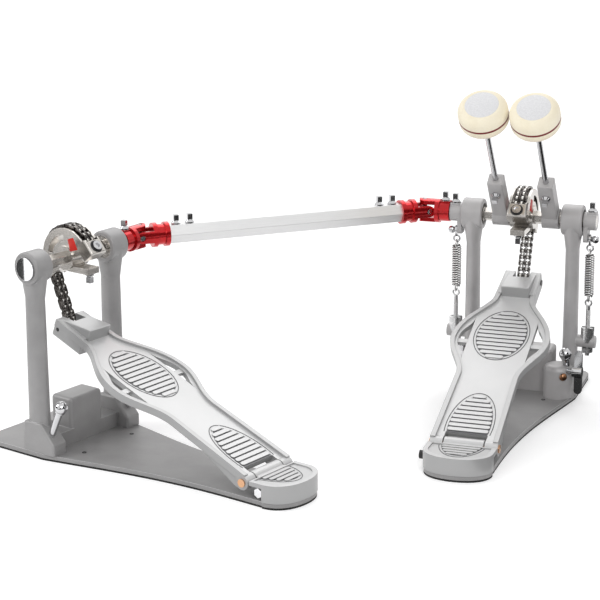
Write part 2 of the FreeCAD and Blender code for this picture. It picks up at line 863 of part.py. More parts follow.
def footboard(name, pose):
    body = doc.addObject("PartDesign::Body", name + "_board")
    rim_top = "board_drop + rim_rise"
    pad(body, "board_drop - board_thick", "board_thick + rim_rise", board_outline(0, 0.0))
    pocket(body, rim_top, "rim_rise", board_outline(val("rim_wide"), -1.0))
    for side in (-1, 1):
        pocket(body, rim_top, "board_thick + 2 * rim_rise", arched_slot(side))
    slot_half = val("tongue_half + tongue_gap")
    slot_end = val("knuckle_radius + hinge_slot")
    pocket(body, rim_top, "board_thick + 2 * rim_rise", rectangle(slot_half, -1.0, slot_end))
    front = rib_rows(val("oval_at") - 5.5 * val("rib_pitch"), val("oval_at") + 6 * val("rib_pitch"),
                     val("oval_at"), val("oval_long"), val("oval_half"))
    rear = rib_rows(slot_end + val("rib_wide"), val("heel_oval_at") + val("heel_oval_long"),
                    val("heel_oval_at"), val("heel_oval_long"), val("heel_oval_half"))
    pad(body, "board_drop", "rib_rise", front + rear)
    solids = [body]
    for side in (-1, 1):
        solids.append(bar("x", "knuckle_radius", *ordered("tongue_half + tongue_gap", "board_half", side)))
        solids.append(taper(ordered("tongue_half + tongue_gap", "board_half", side), ("0", "knuckle_radius"),
                            ordered("tongue_half + tongue_gap", "waist_half", side), ("0", "cheek_long"),
                            ("-knuckle_radius", "board_drop - board_thick + run_over")))
        bridge = ordered("slot_in - run_over", "slot_out + run_over", side)
        solids.append(block(bridge, ("belly_at - bridge_wide", "belly_at"),
                            ("board_drop - board_thick", "board_drop - rim_rise / 2")))
    stop = toe_stop()
    box = block(("-box_half", "box_half"), ("box_at", "toe_at"),
                ("board_drop - box_drop", "board_drop + box_rise"))
    box_edge = val("box_edge")
    box_at = val("box_at")
    box = rounded(box, "box_edge",
                  lambda edge: edge.BoundBox.YLength > box_edge or middle(edge).y > box_at)
    slot = block(("-chain_half - chain_slot_gap", "chain_half + chain_slot_gap"),
                 ("chain_pin_at - 3 * chain_plate_half", "toe_at + run_over"),
                 ("-chain_pin_radius - chain_eye_gap - chain_plate_half", "board_drop + stop_rise"))
    bore = bar("x", "hinge_pin_radius + running_gap", "-board_half - run_over", "board_half + run_over")
    pin_at = ("chain_pin_at", "0")
    pin_bore = bar("x", "chain_pin_radius + fit_gap", "-box_half - run_over", "box_half + run_over", pin_at)
    place = pose.multiply(board_place)
    casting = fuse(fuse(*solids), fuse(stop, box))
    node(name + "_footboard", cut(casting, slot, bore, pin_bore), place)
    pin = bar("x", "chain_pin_radius", "-box_half", "box_half", pin_at)
    head = bar("x", "1.5 * chain_pin_radius", "box_half + fit_gap", "box_half + chain_pin_radius / 2", pin_at)
    stem = bar("x", "chain_pin_radius", "box_half", "box_half + 2 * fit_gap", pin_at)
    node(name + "_chain_pin", fuse(pin, stem, head), place)


# Duplex chain: inner and outer links on round rivets, along a list of rivet places

def link_plate(start, end, x, thick, radius):
    """Round-ended plate between two rivets, standing at one place across the chain."""
    run = (end - start).normalize()
    across = V(0, -run.z, run.y) * radius
    lift = V(x - thick / 2, 0, 0)
    edges = [Part.LineSegment(start + across, end + across),
             Part.Arc(end + across, end + run * radius, end - across),
             Part.LineSegment(end - across, start - across),
             Part.Arc(start - across, start - run * radius, start + across)]
    wire = Part.Wire([edge.toShape() for edge in edges])
    wire.translate(lift)
    return Part.Face(wire).extrude(V(thick, 0, 0))


def cross_bar(spot, radius, low, high):
    return Part.makeCylinder(radius, high - low, V(low, spot.y, spot.z), X_AXIS)


def chain(spots, on_cam):
    """Links along rivet places. The stretch on the cam starts with a drilled inner link; the free strand
    starts with the rivet that runs in it and ends in an eye."""
    half = val("chain_half")
    thick = val("chain_plate")
    radius = val("chain_plate_half")
    row = val("chain_row")
    roller = val("chain_roller")
    rivet = val("chain_rivet")
    over = half + val("run_over")
    inner = [side * (row + offset) for side in (-1, 1) for offset in (-1.5 * thick, 1.5 * thick)]
    outer = [-half + thick, 0.0, half - thick]
    solids = []
    for number in range(len(spots) - 1):
        is_outer = (number % 2 == 1) == on_cam
        for x in outer if is_outer else inner:
            solids.append(link_plate(spots[number], spots[number + 1], x, thick, radius))
    last = len(spots) - 1
    for number, spot in enumerate(spots):
        if number == last and not on_cam:
            continue
        if number > 0 or not on_cam:
            solids.append(cross_bar(spot, rivet, -half, half))
        if number > 0 or on_cam:
            for side in (-1, 1):
                solids.append(cross_bar(spot, roller, side * row - 1.5 * thick, side * row + 1.5 * thick))
    shape = solids[0].multiFuse(solids[1:])
    if on_cam:
        return shape.cut(cross_bar(spots[0], rivet + val("running_gap"), -over, over))
    hole = val("chain_pin_radius + chain_eye_gap")
    ring_half = half - 2 * thick
    eye = cross_bar(spots[last], hole + rivet, -ring_half, ring_half)
    return shape.fuse(eye).cut(cross_bar(spots[last], hole, -over, over))


def chain_places():
    """Rivet places on the cam and on the free strand, which leaves the cam at a tangent."""
    radius = val("cam_pitch_radius")
    pin = board_place.multVec(V(0, val("chain_pin_at"), 0)) - rocker_point
    reach = math.hypot(pin.y, pin.z)
    leave = math.atan2(pin.z, pin.y) + math.acos(radius / reach)
    step = 2 * math.asin(val("chain_pitch") / 2 / radius)
    count = int((math.radians(val("chain_wrap")) - leave) / step)
    wrapped = [rocker_point + V(0, math.cos(leave + step * n), math.sin(leave + step * n)) * radius
               for n in range(count + 1)]
    strand_long = math.sqrt(reach ** 2 - radius ** 2)
    links = max(2, round(strand_long / val("chain_pitch")))
    foot = pin + rocker_point
    strand = [wrapped[0] + (foot - wrapped[0]) * (n / links) for n in range(links + 1)]
    return wrapped, strand


def chain_group(name, pose, shapes):
    node(name + "_cam_chain", feature(shapes[0]), pose)
    node(name + "_drive_chain", feature(shapes[1]), pose)


# Cam: half-moon wheel with two rims, an anchor block for the chain's end and a clamp below

def cam_group(name, pose, swing):
    """Cam, its anchor screw and clamp bolt. The rims and the anchor are modelled with the chain's end level
    with the axis, and swung up to where it ends."""
    def swung(obj):
        return turned(obj, swing, rocker_point - swing.multVec(rocker_point))

    axis = ("0", "rocker_height")
    seat = "chain_half + cam_side_gap"
    side = seat + " + cam_rim"
    floor = "cam_pitch_radius - chain_plate_half - cam_seat_gap"
    through = ("-(%s) - run_over" % side, side + " + run_over")
    round_it = ("-2 * cam_pitch_radius", "2 * cam_pitch_radius")
    over_top = "rocker_height + 2 * cam_pitch_radius"
    moon = block(through, round_it, ("rocker_height - cam_chord", over_top))
    core = bar("x", floor, "-(%s)" % side, side, axis)
    rims = [bar("x", "cam_pitch_radius", seat, side, axis),
            bar("x", "cam_pitch_radius", "-(%s)" % side, "-(%s)" % seat, axis)]
    wheel = common(fuse(core, *rims), moon)
    hub = bar("x", "cam_hub_radius", "-cam_hub_width / 2", "cam_hub_width / 2", axis)
    anchor = block(("-(%s)" % side, side), ("-anchor_reach", "-anchor_in"),
                   ("rocker_height - anchor_low", "rocker_height"))
    reach = val("anchor_reach") - PICK
    anchor = rounded(anchor, "foot_edge", lambda edge: middle(edge).y < -reach)
    clamp_top = "rocker_height - cam_clamp_top"
    clamp_low = clamp_top + " - cam_clamp_drop"
    clamp = block(("-cam_clamp_half", "cam_clamp_half"), ("-cam_clamp_long", "0"), (clamp_low, clamp_top))
    around = cut(bar("x", "cam_slot_out", *through, axis), bar("x", "cam_slot_in", *through, axis))
    window = common(around, block(through, ("run_over", "cam_slot_out"),
                                  ("rocker_height + cam_rim", "rocker_height + cam_slot_out")))
    bore = hex_bar("x", "shaft_flats + 2 * fit_gap", "-cam_hub_width", "cam_hub_width", axis)
    chain_room = cut(bar("x", "cam_pitch_radius + 3 * chain_plate_half", "-(%s)" % seat, seat, axis),
                     bar("x", floor, "-(%s)" % seat, seat, axis))
    chain_room = common(chain_room, block(("-(%s)" % seat, seat), round_it,
                                          ("rocker_height - chain_plate_half - cam_seat_gap", over_top)))
    rim = cut(fuse(wheel, anchor), chain_room)
    node(name + "_cam", cut(fuse(swung(rim), hub, clamp), window, bore), pose)
    screw_at = ("0", "rocker_height - (chain_plate_half + cam_seat_gap + anchor_low) / 2")
    screw = bar("y", "anchor_screw", "-anchor_reach - anchor_screw_rise", "-anchor_reach", screw_at)
    socket = hex_bar("y", "anchor_screw", "-anchor_reach - anchor_screw_rise - run_over",
                     "-anchor_reach - anchor_screw_rise / 3", screw_at)
    under = turned(key_bolt("0", "0", "0"), FreeCAD.Rotation(X_AXIS, 180),
                   V(0, val("key_flange + run_over - cam_clamp_long"), val(clamp_low)))
    return [swung(cut(screw, socket)), under]


# Rocker shafts: hexagonal bars with round journals in the bearings

def shaft(low, high, journals):
    axis = ("0", "rocker_height")
    rods = [hex_bar("x", "shaft_flats", low, high, axis)]
    for side in journals:
        mid = "post_offset * %d" % side
        ends = (mid + " - housing_width / 2", mid + " + housing_width / 2")
        rods.append(bar("x", "journal_radius", *ends, axis))
    return fuse(*rods)


# Beater hub, rod and felt head, modelled upright on the rocker axis and then leaned back

def beater(word, offset):
    place = FreeCAD.Placement(rocker_point + V(offset, 0, 0), lean)
    barrel = bar("x", "hub_radius", "-hub_width / 2", "hub_width / 2")
    arm = block(("-hub_block_half", "hub_block_half"), ("-hub_block_deep", "hub_block_deep"),
                ("0", "hub_reach"))
    top = val("hub_radius")
    arm = rounded(arm, "hub_edge", lambda edge: middle(edge).z > top)
    bore = hex_bar("x", "shaft_flats + 2 * fit_gap", "-hub_width", "hub_width")
    bore = turned(bore, lean.inverted())
    rod_bore = bar("z", "beater_rod_radius + running_gap", "hub_radius + hub_edge", "hub_reach + run_over")
    node(word + "_beater_hub", cut(fuse(barrel, arm), bore, rod_bore), place)
    crown = "head_low + head_thick"
    rod = bar("z", "beater_rod_radius", "beater_rod_start", crown + " - head_cap")
    node(word + "_beater_rod", rod, place)
    felt = rounded(bar("z", "head_radius", "head_low", crown), "head_round",
                   lambda edge: edge.BoundBox.ZLength < PICK)
    hole = bar("z", "beater_rod_radius + running_gap", "head_low - run_over", crown + " - head_cap")
    node(word + "_beater_head", cut(felt, hole), place)
    screw = turned(key_bolt("0", "0", "0"), FreeCAD.Rotation(X_AXIS, 90),
                   V(0, -val("hub_block_deep"), val("hub_screw_at")))
    return turned(screw, lean, place.Base)


# Spring lever with its ball stud, swivel, spring and tension rod on one side of the main unit

def lever(word, side):
    inner = "post_offset + housing_width / 2 + lever_gap"
    outer = inner + " + lever_thick"
    axis = ("0", "rocker_height")
    x = ordered(inner, outer, side)
    arm = block(x, ("-lever_half", "lever_half"), ("rocker_height - lever_drop", "rocker_height"))
    arm_low = val("rocker_height - lever_drop") + PICK
    plate_thick = val("lever_thick")
    arm = rounded(arm, "lever_half / 2",
                  lambda edge: middle(edge).z < arm_low and edge.BoundBox.XLength > plate_thick / 2)
    boss = bar("x", "lever_boss_radius", *ordered(inner, "lever_boss_end", side), axis)
    mid = "lever_boss_end - lever_boss_radius / 2"
    pad_x = ordered(mid + " - key_flange", mid + " + key_flange", side)
    lug = block(pad_x, ("-key_flange - run_over", "key_flange + run_over"),
                ("rocker_height", "rocker_height + lever_boss_radius + key_pad"))
    through = ordered("post_offset", "lever_boss_end + run_over", side)
    bore = hex_bar("x", "shaft_flats + 2 * fit_gap", *through, axis)
    stud_at = ("0", "rocker_height - stud_drop")
    stud_bore = bar("x", "stud_radius + fit_gap", *ordered("post_offset", spring_line, side), stud_at)
    node(word + "_spring_lever", cut(fuse(arm, boss, lug), bore, stud_bore))
    centre = spring_line + " + swivel_thick / 2 + ball_radius"
    stud = bar("x", "stud_radius", *ordered(inner + " + run_over", centre, side), stud_at)
    tip = ball("ball_radius", ("(%s) * %d" % (centre, side), "0", "rocker_height - stud_drop"))
    bolt = key_bolt("(%s) * %d" % (mid, side), "0", "rocker_height + lever_boss_radius + key_pad")
    return [fuse(stud, tip), bolt]


def biarc(start, leave, end, arrive):
    """Two tangent arcs between points with given directions."""
    gap = end - start
    turn = leave + arrive
    a = 2 * (leave.dot(arrive) - 1)
    b = -2 * gap.dot(turn)
    c = gap.dot(gap)
    reach = -c / b if abs(a) < 1e-9 else (-b - math.sqrt(b * b - 4 * a * c)) / (2 * a)
    knee = start + leave * reach
    far_knee = end - arrive * reach
    joint = (knee + far_knee) * 0.5
    first = arc_middle(start, leave, joint)
    second = arc_middle(end, arrive * -1, joint)
    return [Part.Arc(start, first, joint).toShape(), Part.Arc(joint, second, end).toShape()]


def arc_middle(start, leave, end):
    """Middle of the arc that leaves a point in a direction and ends at another."""
    chord = end - start
    normal = chord.cross(leave)
    inward = leave.cross(normal).normalize()
    inward = inward if inward.dot(chord) > 0 else inward * -1
    radius = chord.dot(chord) / (2 * chord.dot(inward))
    centre = start + inward * radius
    out = (start - centre) + (end - centre)
    if (start + end - centre * 2).Length < 1e-6:
        out = leave
    return centre + out.normalize() * radius


def spring_form(line, low):
    """One unbroken wire: a hook, the turns and a second hook."""
    radius = val("spring_radius")
    wire = val("spring_wire")
    pitch = val("spring_pitch")
    rise = val("hook_rise") * radius
    turns = int(val("spring_turns"))
    coil_low = low + radius + rise
    slope = pitch / (2 * math.pi)

    def on_coil(angle):
        return V(line + radius * math.cos(angle), radius * math.sin(angle), coil_low + slope * angle)

    def heading(angle):
        return V(-radius * math.sin(angle), radius * math.cos(angle), slope).normalize()

    edges = []
    spots = []
    loop_low = V(line, 0, coil_low - rise)
    hook = [(loop_low + V(0, radius, 0.0), V(0, 0, 1)), (loop_low + V(0, 0, -radius), V(0, 1, 0)),
            (loop_low + V(0, -radius, 0), V(0, 0, -1))]
    legs = [(hook[0][0], hook[0][1] * -1), (hook[1][0], hook[1][1] * -1)]
    end_low = (hook[2][0], hook[2][1] * -1)
    edges += biarc(legs[0][0], legs[0][1], legs[1][0], legs[1][1])
    edges += biarc(legs[1][0], legs[1][1], end_low[0], V(0, 0, 1))
    edges += biarc(end_low[0], V(0, 0, 1), on_coil(0), heading(0))
    quarter = math.pi / 2
    for step in range(4 * turns):
        angle = step * quarter
        edges += biarc(on_coil(angle), heading(angle), on_coil(angle + quarter), heading(angle + quarter))
    top = 4 * turns * quarter
    loop_high = V(line, 0, on_coil(top).z + rise)
    edges += biarc(on_coil(top), heading(top), loop_high + V(0, radius, 0), V(0, 0, 1))
    edges += biarc(loop_high + V(0, radius, 0), V(0, 0, 1), loop_high + V(0, 0, radius), V(0, -1, 0))
    edges += biarc(loop_high + V(0, 0, radius), V(0, -1, 0), loop_high + V(0, -radius, 0), V(0, 0, -1))
    path = Part.Wire(Part.__sortEdges__(edges))
    for edge in edges:
        spots += edge.discretize(9)[:-1]
    start = legs[0][0]
    profile = Part.Wire([Part.makeCircle(wire, start, V(0, 0, -1))])
    shape = path.makePipeShell([profile], True, False)
    return shape, spots


def self_gap(spots, wire):
    """Least gap between stretches of one wire that aren't next to each other."""
    least = 1e9
    span = 2.2 * math.pi * wire
    for number, spot in enumerate(spots):
        travelled = 0.0
        for after in range(number + 1, len(spots)):
            travelled += (spots[after] - spots[after - 1]).Length
            if travelled > 3 * span and after - number > 120:
                break
            if travelled > span:
                least = min(least, (spots[after] - spot).Length - 2 * wire)
    return least


def spring_group(word, side):
    line = "(%s) * %d" % (spring_line, side)
    across = val(spring_line) * side
    ring_top = val("rocker_height - stud_drop - swivel_drop")
    hook_pull = val("ring_wire + spring_wire + hook_gap")
    loop_high = ring_top - val("ring_radius") + hook_pull
    coil = int(val("spring_turns")) * val("spring_pitch")
    reach = val("spring_radius") * (1 + val("hook_rise"))
    low = loop_high - 2 * reach - coil
    shape, spots = spring_form(across, low)
    gap = self_gap(spots, val("spring_wire"))
    print("%s_spring least gap %.2f mm, volume %.1f" % (word, gap, shape.Volume))
    if gap < 0.4:
        raise ValueError("the turns of the spring touch")
    node(word + "_spring", feature(shape))
    stud_at = ("0", "rocker_height - stud_drop")
    x = ordered(spring_line + " - swivel_thick / 2", spring_line + " + swivel_thick / 2", side)
    eye = bar("x", "swivel_half + stud_slack * 0.5", *x, stud_at)
    neck = block(x, ("-ring_wire * 2", "ring_wire * 2"),
                 ("rocker_height - stud_drop - swivel_drop + ring_radius - ring_wire / 2",
                  "rocker_height - stud_drop"))
    hole = bar("x", "stud_radius + stud_slack", "-rocker_height", "rocker_height", stud_at)
    hoop = ring("ring_radius", "ring_wire", (line, "0", "rocker_height - stud_drop - swivel_drop"))
    node(word + "_spring_swivel", fuse(cut(fuse(eye, neck), hole), hoop))
    rod_ring = low + hook_pull - val("ring_radius")
    lower = feature(Part.makeTorus(val("ring_radius"), val("ring_wire"), V(across, 0, rod_ring), Y_AXIS))
    rod_top = rod_ring - val("ring_radius")
    rod = feature(Part.makeCylinder(val("tension_rod_radius"), rod_top - val("tension_rod_end"),
                                    V(across, 0, val("tension_rod_end"))))
    return fuse(lower, rod)


def tension_nuts(side):
    """Saddle nut on top of the post's boss and a lock nut under it."""
    line = "(%s) * %d" % (spring_line, side)
    bore = bar("z", "tension_rod_radius + fit_gap", "tension_rod_end - nut_high",
               "boss_height + 3 * nut_high", (line, "0"))
    seat = bar("x", "boss_radius + fit_gap", "-2 * post_offset", "2 * post_offset", ("0", "boss_height"))
    saddle = bar("z", "nut_radius", "boss_height", "boss_height + boss_radius + nut_high", (line, "0"))
    notch = block(("-2 * post_offset", "2 * post_offset"), ("-nut_radius / 3", "nut_radius / 3"),
                  ("boss_height + boss_radius + nut_high / 2", "boss_height + boss_radius + 2 * nut_high"))
    flat = "boss_height - boss_radius - fit_gap"
    lock = hex_bar("z", "2 * lock_nut_radius", flat + " - lock_nut_high", flat, (line, "0"))
    return [cut(saddle, seat, bore, notch), cut(lock, bore)]


# Universal joints and the telescoping drive shaft

def ears(axis, base, long, collars):
    """Yoke on the local X axis: a round hub with raised collars beyond its two ears, which hold a pin on one
    axis. Collars stand at the ears and, where there are two, at the far end."""
    inner = base if long > 0 else -base
    low, high = sorted((inner, inner + long))
    hub = Part.makeCylinder(val("yoke_hub_radius"), high - low, V(low, 0, 0), X_AXIS)
    collar = val("yoke_collar")
    places = [low, high - collar] if long > 0 else [high - collar, low]
    raised = [Part.makeCylinder(val("yoke_radius"), collar, V(place, 0, 0), X_AXIS)
              for place in places[:collars]]
    body = feature(hub.multiFuse(raised))
    ear = val("ear_radius")
    outer_round = Part.makeCylinder(val("yoke_radius"), 2 * base + ear, V(-base - ear, 0, 0), X_AXIS)
    sides = []
    for side in (-1, 1):
        near = side * val("ear_in")
        far = side * val("yoke_radius")
        span = sorted((near, far))
        run = sorted((0.0, inner))
        strip = Part.makeBox(run[1] - run[0], 2 * ear, span[1] - span[0], V(run[0], -ear, span[0]))
        tip = Part.makeCylinder(ear, span[1] - span[0], V(0, 0, span[0]))
        sides.append(strip.fuse(tip).common(outer_round))
    shape = body.Shape.multiFuse(sides)
    across = 2 * val("yoke_radius")
    hole = Part.makeCylinder(val("cross_radius + cross_play"), 2 * across, V(0, 0, -across))
    shape = shape.cut(hole)
    if axis == "y":
        shape = shape.rotate(V(), X_AXIS, 90)
    body.Shape = shape
    return body


def cross(along_turn):
    """Spider of a universal joint: one upright pin and one pin square to the shaft."""
    long = 2 * val("yoke_radius") - 1
    upright = Part.makeCylinder(val("cross_radius"), long, V(0, 0, -long / 2))
    level = Part.makeCylinder(val("cross_radius"), long, V(0, -long / 2, 0), Y_AXIS)
    level.rotate(V(), Z_AXIS, along_turn)
    core = Part.makeSphere(val("cross_core"))
    return feature(upright.multiFuse([level, core]))


def drive_group():
    up = FreeCAD.Placement(main_joint_point, FreeCAD.Rotation())
    far = FreeCAD.Placement(remote_joint_point, yaw)
    base = val("yoke_base")
    long = val("yoke_long")
    bore = hex_bar("x", "shaft_flats + 2 * fit_gap", "-rocker_height", "rocker_height")
    slot = val("shaft_joint")
    bolt_at = (val("yoke_collar") + long) / 2
    pads = {}
    for word, place, side in (("main", up, 1), ("remote", far, -1)):
        yoke = ears("z", base, side * long, 1)
        pad_x = sorted((side * base, side * (base + long)))
        flange = val("key_flange")
        lug = feature(Part.makeBox(long, 2 * flange, val("yoke_hub_radius + key_pad"), V(pad_x[0], -flange, 0)))
        end = side * (base + long + val("run_over"))
        keyed = sorted((side * base, end))
        inside = Part.makeBox(keyed[1] - keyed[0], 2 * slot, 2 * slot, V(keyed[0], -slot, -slot))
        hole = common(bore, feature(inside))
        node(word + "_yoke", cut(fuse(yoke, lug), hole), place)
        pads[word] = place.multVec(V(side * (base + bolt_at), 0, val("yoke_hub_radius + key_pad")))
    node("main_cross", cross(val("shaft_angle")), up)
    node("remote_cross", cross(val("shaft_angle") - val("remote_turn")), far)
    span = val("shaft_span")
    tube_low = base + val("tube_yoke_long")
    tube_high = span - tube_low
    node("tube_yoke", ears("y", base, val("tube_yoke_long"), 2), shaft_place)
    outer = hex_bar("x", "tube_flats", "yoke_base + tube_yoke_long",
                    "shaft_span - yoke_base - tube_yoke_long")
    flat_up = turned(outer, FreeCAD.Rotation(X_AXIS, 30))
    inside = bar("x", "tube_bore", "yoke_base", "shaft_span")
    node("drive_tube", cut(flat_up, inside), shaft_place)
    rod_yoke = turned(ears("y", base, -val("tube_yoke_long"), 2), FreeCAD.Rotation(), V(span, 0, 0))
    node("rod_yoke", rod_yoke, shaft_place)
    rod = feature(Part.makeCylinder(val("tube_bore - rod_play"), val("rod_reach"),
                                    V(tube_high - val("rod_reach"), 0, 0), X_AXIS))
    node("drive_rod", rod, shaft_place)
    bolts = []
    for start, sign in ((tube_low, 1), (tube_high, -1)):
        for number in range(2):
            spot = start + sign * (val("tube_bolt_inset") + number * val("tube_bolt_pitch"))
            seat = V(spot, 0, val("tube_flats") / 2)
            bolts.append(turned(key_bolt("0", "0", "0"), FreeCAD.Rotation(), seat))
    node("tube_bolts", group(*bolts), shaft_place)
    return pads


# The whole object

on_cam, strand = chain_places()
chain_end = on_cam[-1] - rocker_point
swing = FreeCAD.Rotation(X_AXIS, math.degrees(math.atan2(chain_end.z, chain_end.y)) - 180)
chains = (chain(on_cam, True), chain(strand, False))
for unit, stand in (("main", MAIN), ("remote", REMOTE)):
    base_group(unit, stand)
    heel_group(unit, stand)
    frame_group(unit, stand)
    footboard(unit, stand)
    chain_group(unit, stand, chains)

bolt_pads = drive_group()
yoke_bolts = {}
for unit, spot in bolt_pads.items():
    yoke_bolts[unit] = turned(key_bolt("0", "0", "0"), FreeCAD.Rotation(), spot)

node("hoop_wing_bolt", fuse(*hoop_clamp()))

right_bolts = cam_group("main", MAIN, swing)
remote_bolts = [turned(group(*cam_group("remote", REMOTE, swing)), REMOTE.Rotation, REMOTE.Base)]

split = "-shaft_joint"
left_end = "-(main_joint - yoke_base)"
right_shaft = shaft(split, "lever_boss_end", (1,))
rocker_line = ("0", "rocker_height")
pilot_bore = bar("x", "pilot_radius + running_gap", split + " - run_over",
                 split + " + pilot_length + run_over", rocker_line)
node("right_rocker_shaft", cut(right_shaft, pilot_bore))
left_shaft = shaft(left_end, split + " - lever_gap", (-1,))
pilot = bar("x", "pilot_radius", split + " - lever_gap - run_over", split + " + pilot_length", rocker_line)
node("left_rocker_shaft", fuse(left_shaft, pilot))
end_low = "-post_offset - housing_width / 2"
remote_shaft = shaft(end_low, "remote_joint - yoke_base", (-1, 1))
end_cap = bar("x", "cap_radius", end_low + " - cap_thick", end_low, rocker_line)
node("remote_rocker_shaft", fuse(remote_shaft, end_cap), REMOTE)

left_bolts = []
for word, side, offset, bolts in (("left", -1, -val("hub_left"), left_bolts),
                                  ("right", 1, val("hub_right"), right_bolts)):
    bolts.append(beater(word, offset))
    bolts.extend(lever(word, side))
rods = [spring_group(word, side) for word, side in (("left", -1), ("right", 1))]
node("tension_rods", group(*rods, *tension_nuts(-1), *tension_nuts(1)))

node("right_rocker_bolts", group(*right_bolts))
node("left_rocker_bolts", group(*left_bolts, yoke_bolts["main"]))
node("remote_rocker_bolts", group(*remote_bolts, yoke_bolts["remote"]))

doc.recompute()

faulty = [obj.Label for obj in doc.Objects if "Invalid" in obj.State or "Error" in obj.State]
faulty += [piece.Label for piece in NODES if piece.Shape.isNull() or not piece.Shape.isValid()]
if faulty:
    raise ValueError("not built: " + ", ".join(faulty))
os.makedirs("parts", exist_ok=True)
for piece in NODES:
    piece.Shape.exportStep(os.path.join("parts", piece.Label + ".step"))
print(len(NODES), "pieces")
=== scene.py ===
import math

import bmesh
import bpy
from mathutils import Euler, Matrix, Vector


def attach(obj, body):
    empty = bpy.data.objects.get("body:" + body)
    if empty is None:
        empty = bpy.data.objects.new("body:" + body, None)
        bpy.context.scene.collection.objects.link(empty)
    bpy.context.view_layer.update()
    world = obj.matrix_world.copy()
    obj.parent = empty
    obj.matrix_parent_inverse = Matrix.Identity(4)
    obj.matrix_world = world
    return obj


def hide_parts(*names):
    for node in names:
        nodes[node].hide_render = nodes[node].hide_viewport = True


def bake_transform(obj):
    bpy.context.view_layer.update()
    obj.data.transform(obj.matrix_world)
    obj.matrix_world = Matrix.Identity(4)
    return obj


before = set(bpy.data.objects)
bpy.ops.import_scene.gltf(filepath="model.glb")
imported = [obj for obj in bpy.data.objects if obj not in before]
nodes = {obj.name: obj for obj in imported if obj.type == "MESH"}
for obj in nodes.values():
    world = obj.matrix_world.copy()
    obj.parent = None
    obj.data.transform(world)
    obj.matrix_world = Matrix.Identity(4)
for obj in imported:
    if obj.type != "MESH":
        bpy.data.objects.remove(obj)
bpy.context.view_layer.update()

scene = bpy.context.scene

# Studio: a plain pale floor under an even white sky, with broad soft lamps behind, to the left and in front.
# Dark cards stand round the pedals and lie on the floor; only polished metal sees them, as darker bands.

scene.view_settings.view_transform = "Standard"


class Thread:
    """A shader socket that can be used in sums, and that adds nodes to its own tree."""

    def __init__(self, socket):
        self.socket = socket

    def node(self, kind, settings, sockets, out=0):
        tree = self.socket.id_data
        made = tree.nodes.new("ShaderNode" + kind)
        for name, value in settings.items():
            setattr(made, name, value)
        for key, value in sockets.items():
            if isinstance(value, Thread):
                tree.links.new(value.socket, made.inputs[key])
            else:
                made.inputs[key].default_value = value
        return Thread(made.outputs[out])

    def into(self, shader, name):
        self.socket.id_data.links.new(self.socket, shader.inputs[name])

    def maths(self, operation, first, second=0.0):
        return self.node("Math", {"operation": operation}, {0: first, 1: second})

    def __add__(self, other):
        return self.maths("ADD", self, other)

    __radd__ = __add__

    def __sub__(self, other):
        return self.maths("SUBTRACT", self, other)

    def __rsub__(self, other):
        return self.maths("SUBTRACT", other, self)

    def __mul__(self, other):
        return self.maths("MULTIPLY", self, other)

    __rmul__ = __mul__

    def __truediv__(self, other):
        return self.maths("DIVIDE", self, other)

    def __gt__(self, other):
        return self.maths("GREATER_THAN", self, other)

    def __lt__(self, other):
        return self.maths("LESS_THAN", self, other)

    def __abs__(self):
        return self.maths("ABSOLUTE", self)

    def root(self):
        return self.maths("SQRT", self)

    def larger(self, other):
        return self.maths("MAXIMUM", self, other)

    def between(self, low, high):
        """0 below a low value and 1 above a high one, with a smooth step."""
        return self.node("MapRange", {"interpolation_type": "SMOOTHSTEP"},
                         {"Value": self, "From Min": low, "From Max": high})

    def mix(self, under, over):
        """Colour that goes from one to another as this value goes from 0 to 1."""
        return self.node("Mix", {"data_type": "RGBA"}, {0: self, 6: under, 7: over}, 2)

    def noise(self, scale, detail=3.0, roughness=0.5):
        return self.node("TexNoise", {}, {"Vector": self, "Scale": scale, "Detail": detail,
                                          "Roughness": roughness})

    def frame(self, place, turn):
        """Coordinates in a piece's own frame."""
        return self.node("Mapping", {"vector_type": "TEXTURE"}, {"Vector": self, "Location": place,
                                                                 "Rotation": turn})

    def stretched(self, along):
        return self.node("Mapping", {}, {"Vector": self, "Scale": along})

    def axes(self):
        return [self.node("SeparateXYZ", {}, {"Vector": self}, out) for out in range(3)]

    def facing(self):
        """Direction that the surface faces before any rounding or bump."""
        return self.node("NewGeometry", {}, {}, 1)

    def along(self, other):
        """How far this direction lies along another."""
        return self.node("VectorMath", {"operation": "DOT_PRODUCT"}, {0: self, 1: other}, 1)

    def rounded(self, radius):
        """Direction of a surface whose sharp edges are rounded off."""
        return self.node("Bevel", {"samples": 4}, {"Radius": radius})

    def bump(self, strength, distance, under=None):
        """Direction of a surface that has this value as its height, on top of another direction."""
        sockets = {"Strength": strength, "Distance": distance, "Height": self}
        if under is not None:
            sockets["Normal"] = under
        return self.node("Bump", {}, sockets)


def finish(name, **values):
    """A new material, its shader and its object coordinates; values are the same all over."""
    material = bpy.data.materials.new(name)
    material.use_nodes = True
    tree = material.node_tree
    shader = tree.nodes["Principled BSDF"]
    for words, value in values.items():
        shader.inputs[words.replace("_", " ").title().replace("Ior", "IOR")].default_value = value
    return material, shader, Thread(tree.nodes.new("ShaderNodeTexCoord").outputs["Object"])


def background_rays(tree):
    """1 for the camera's rays and for those in metal and glass, which all see the pale background."""
    rays = tree.nodes.new("ShaderNodeLightPath")
    seen = Thread(rays.outputs["Is Camera Ray"])
    for kind in ("Is Glossy Ray", "Is Transmission Ray"):
        seen = seen.larger(Thread(rays.outputs[kind]))
    return seen


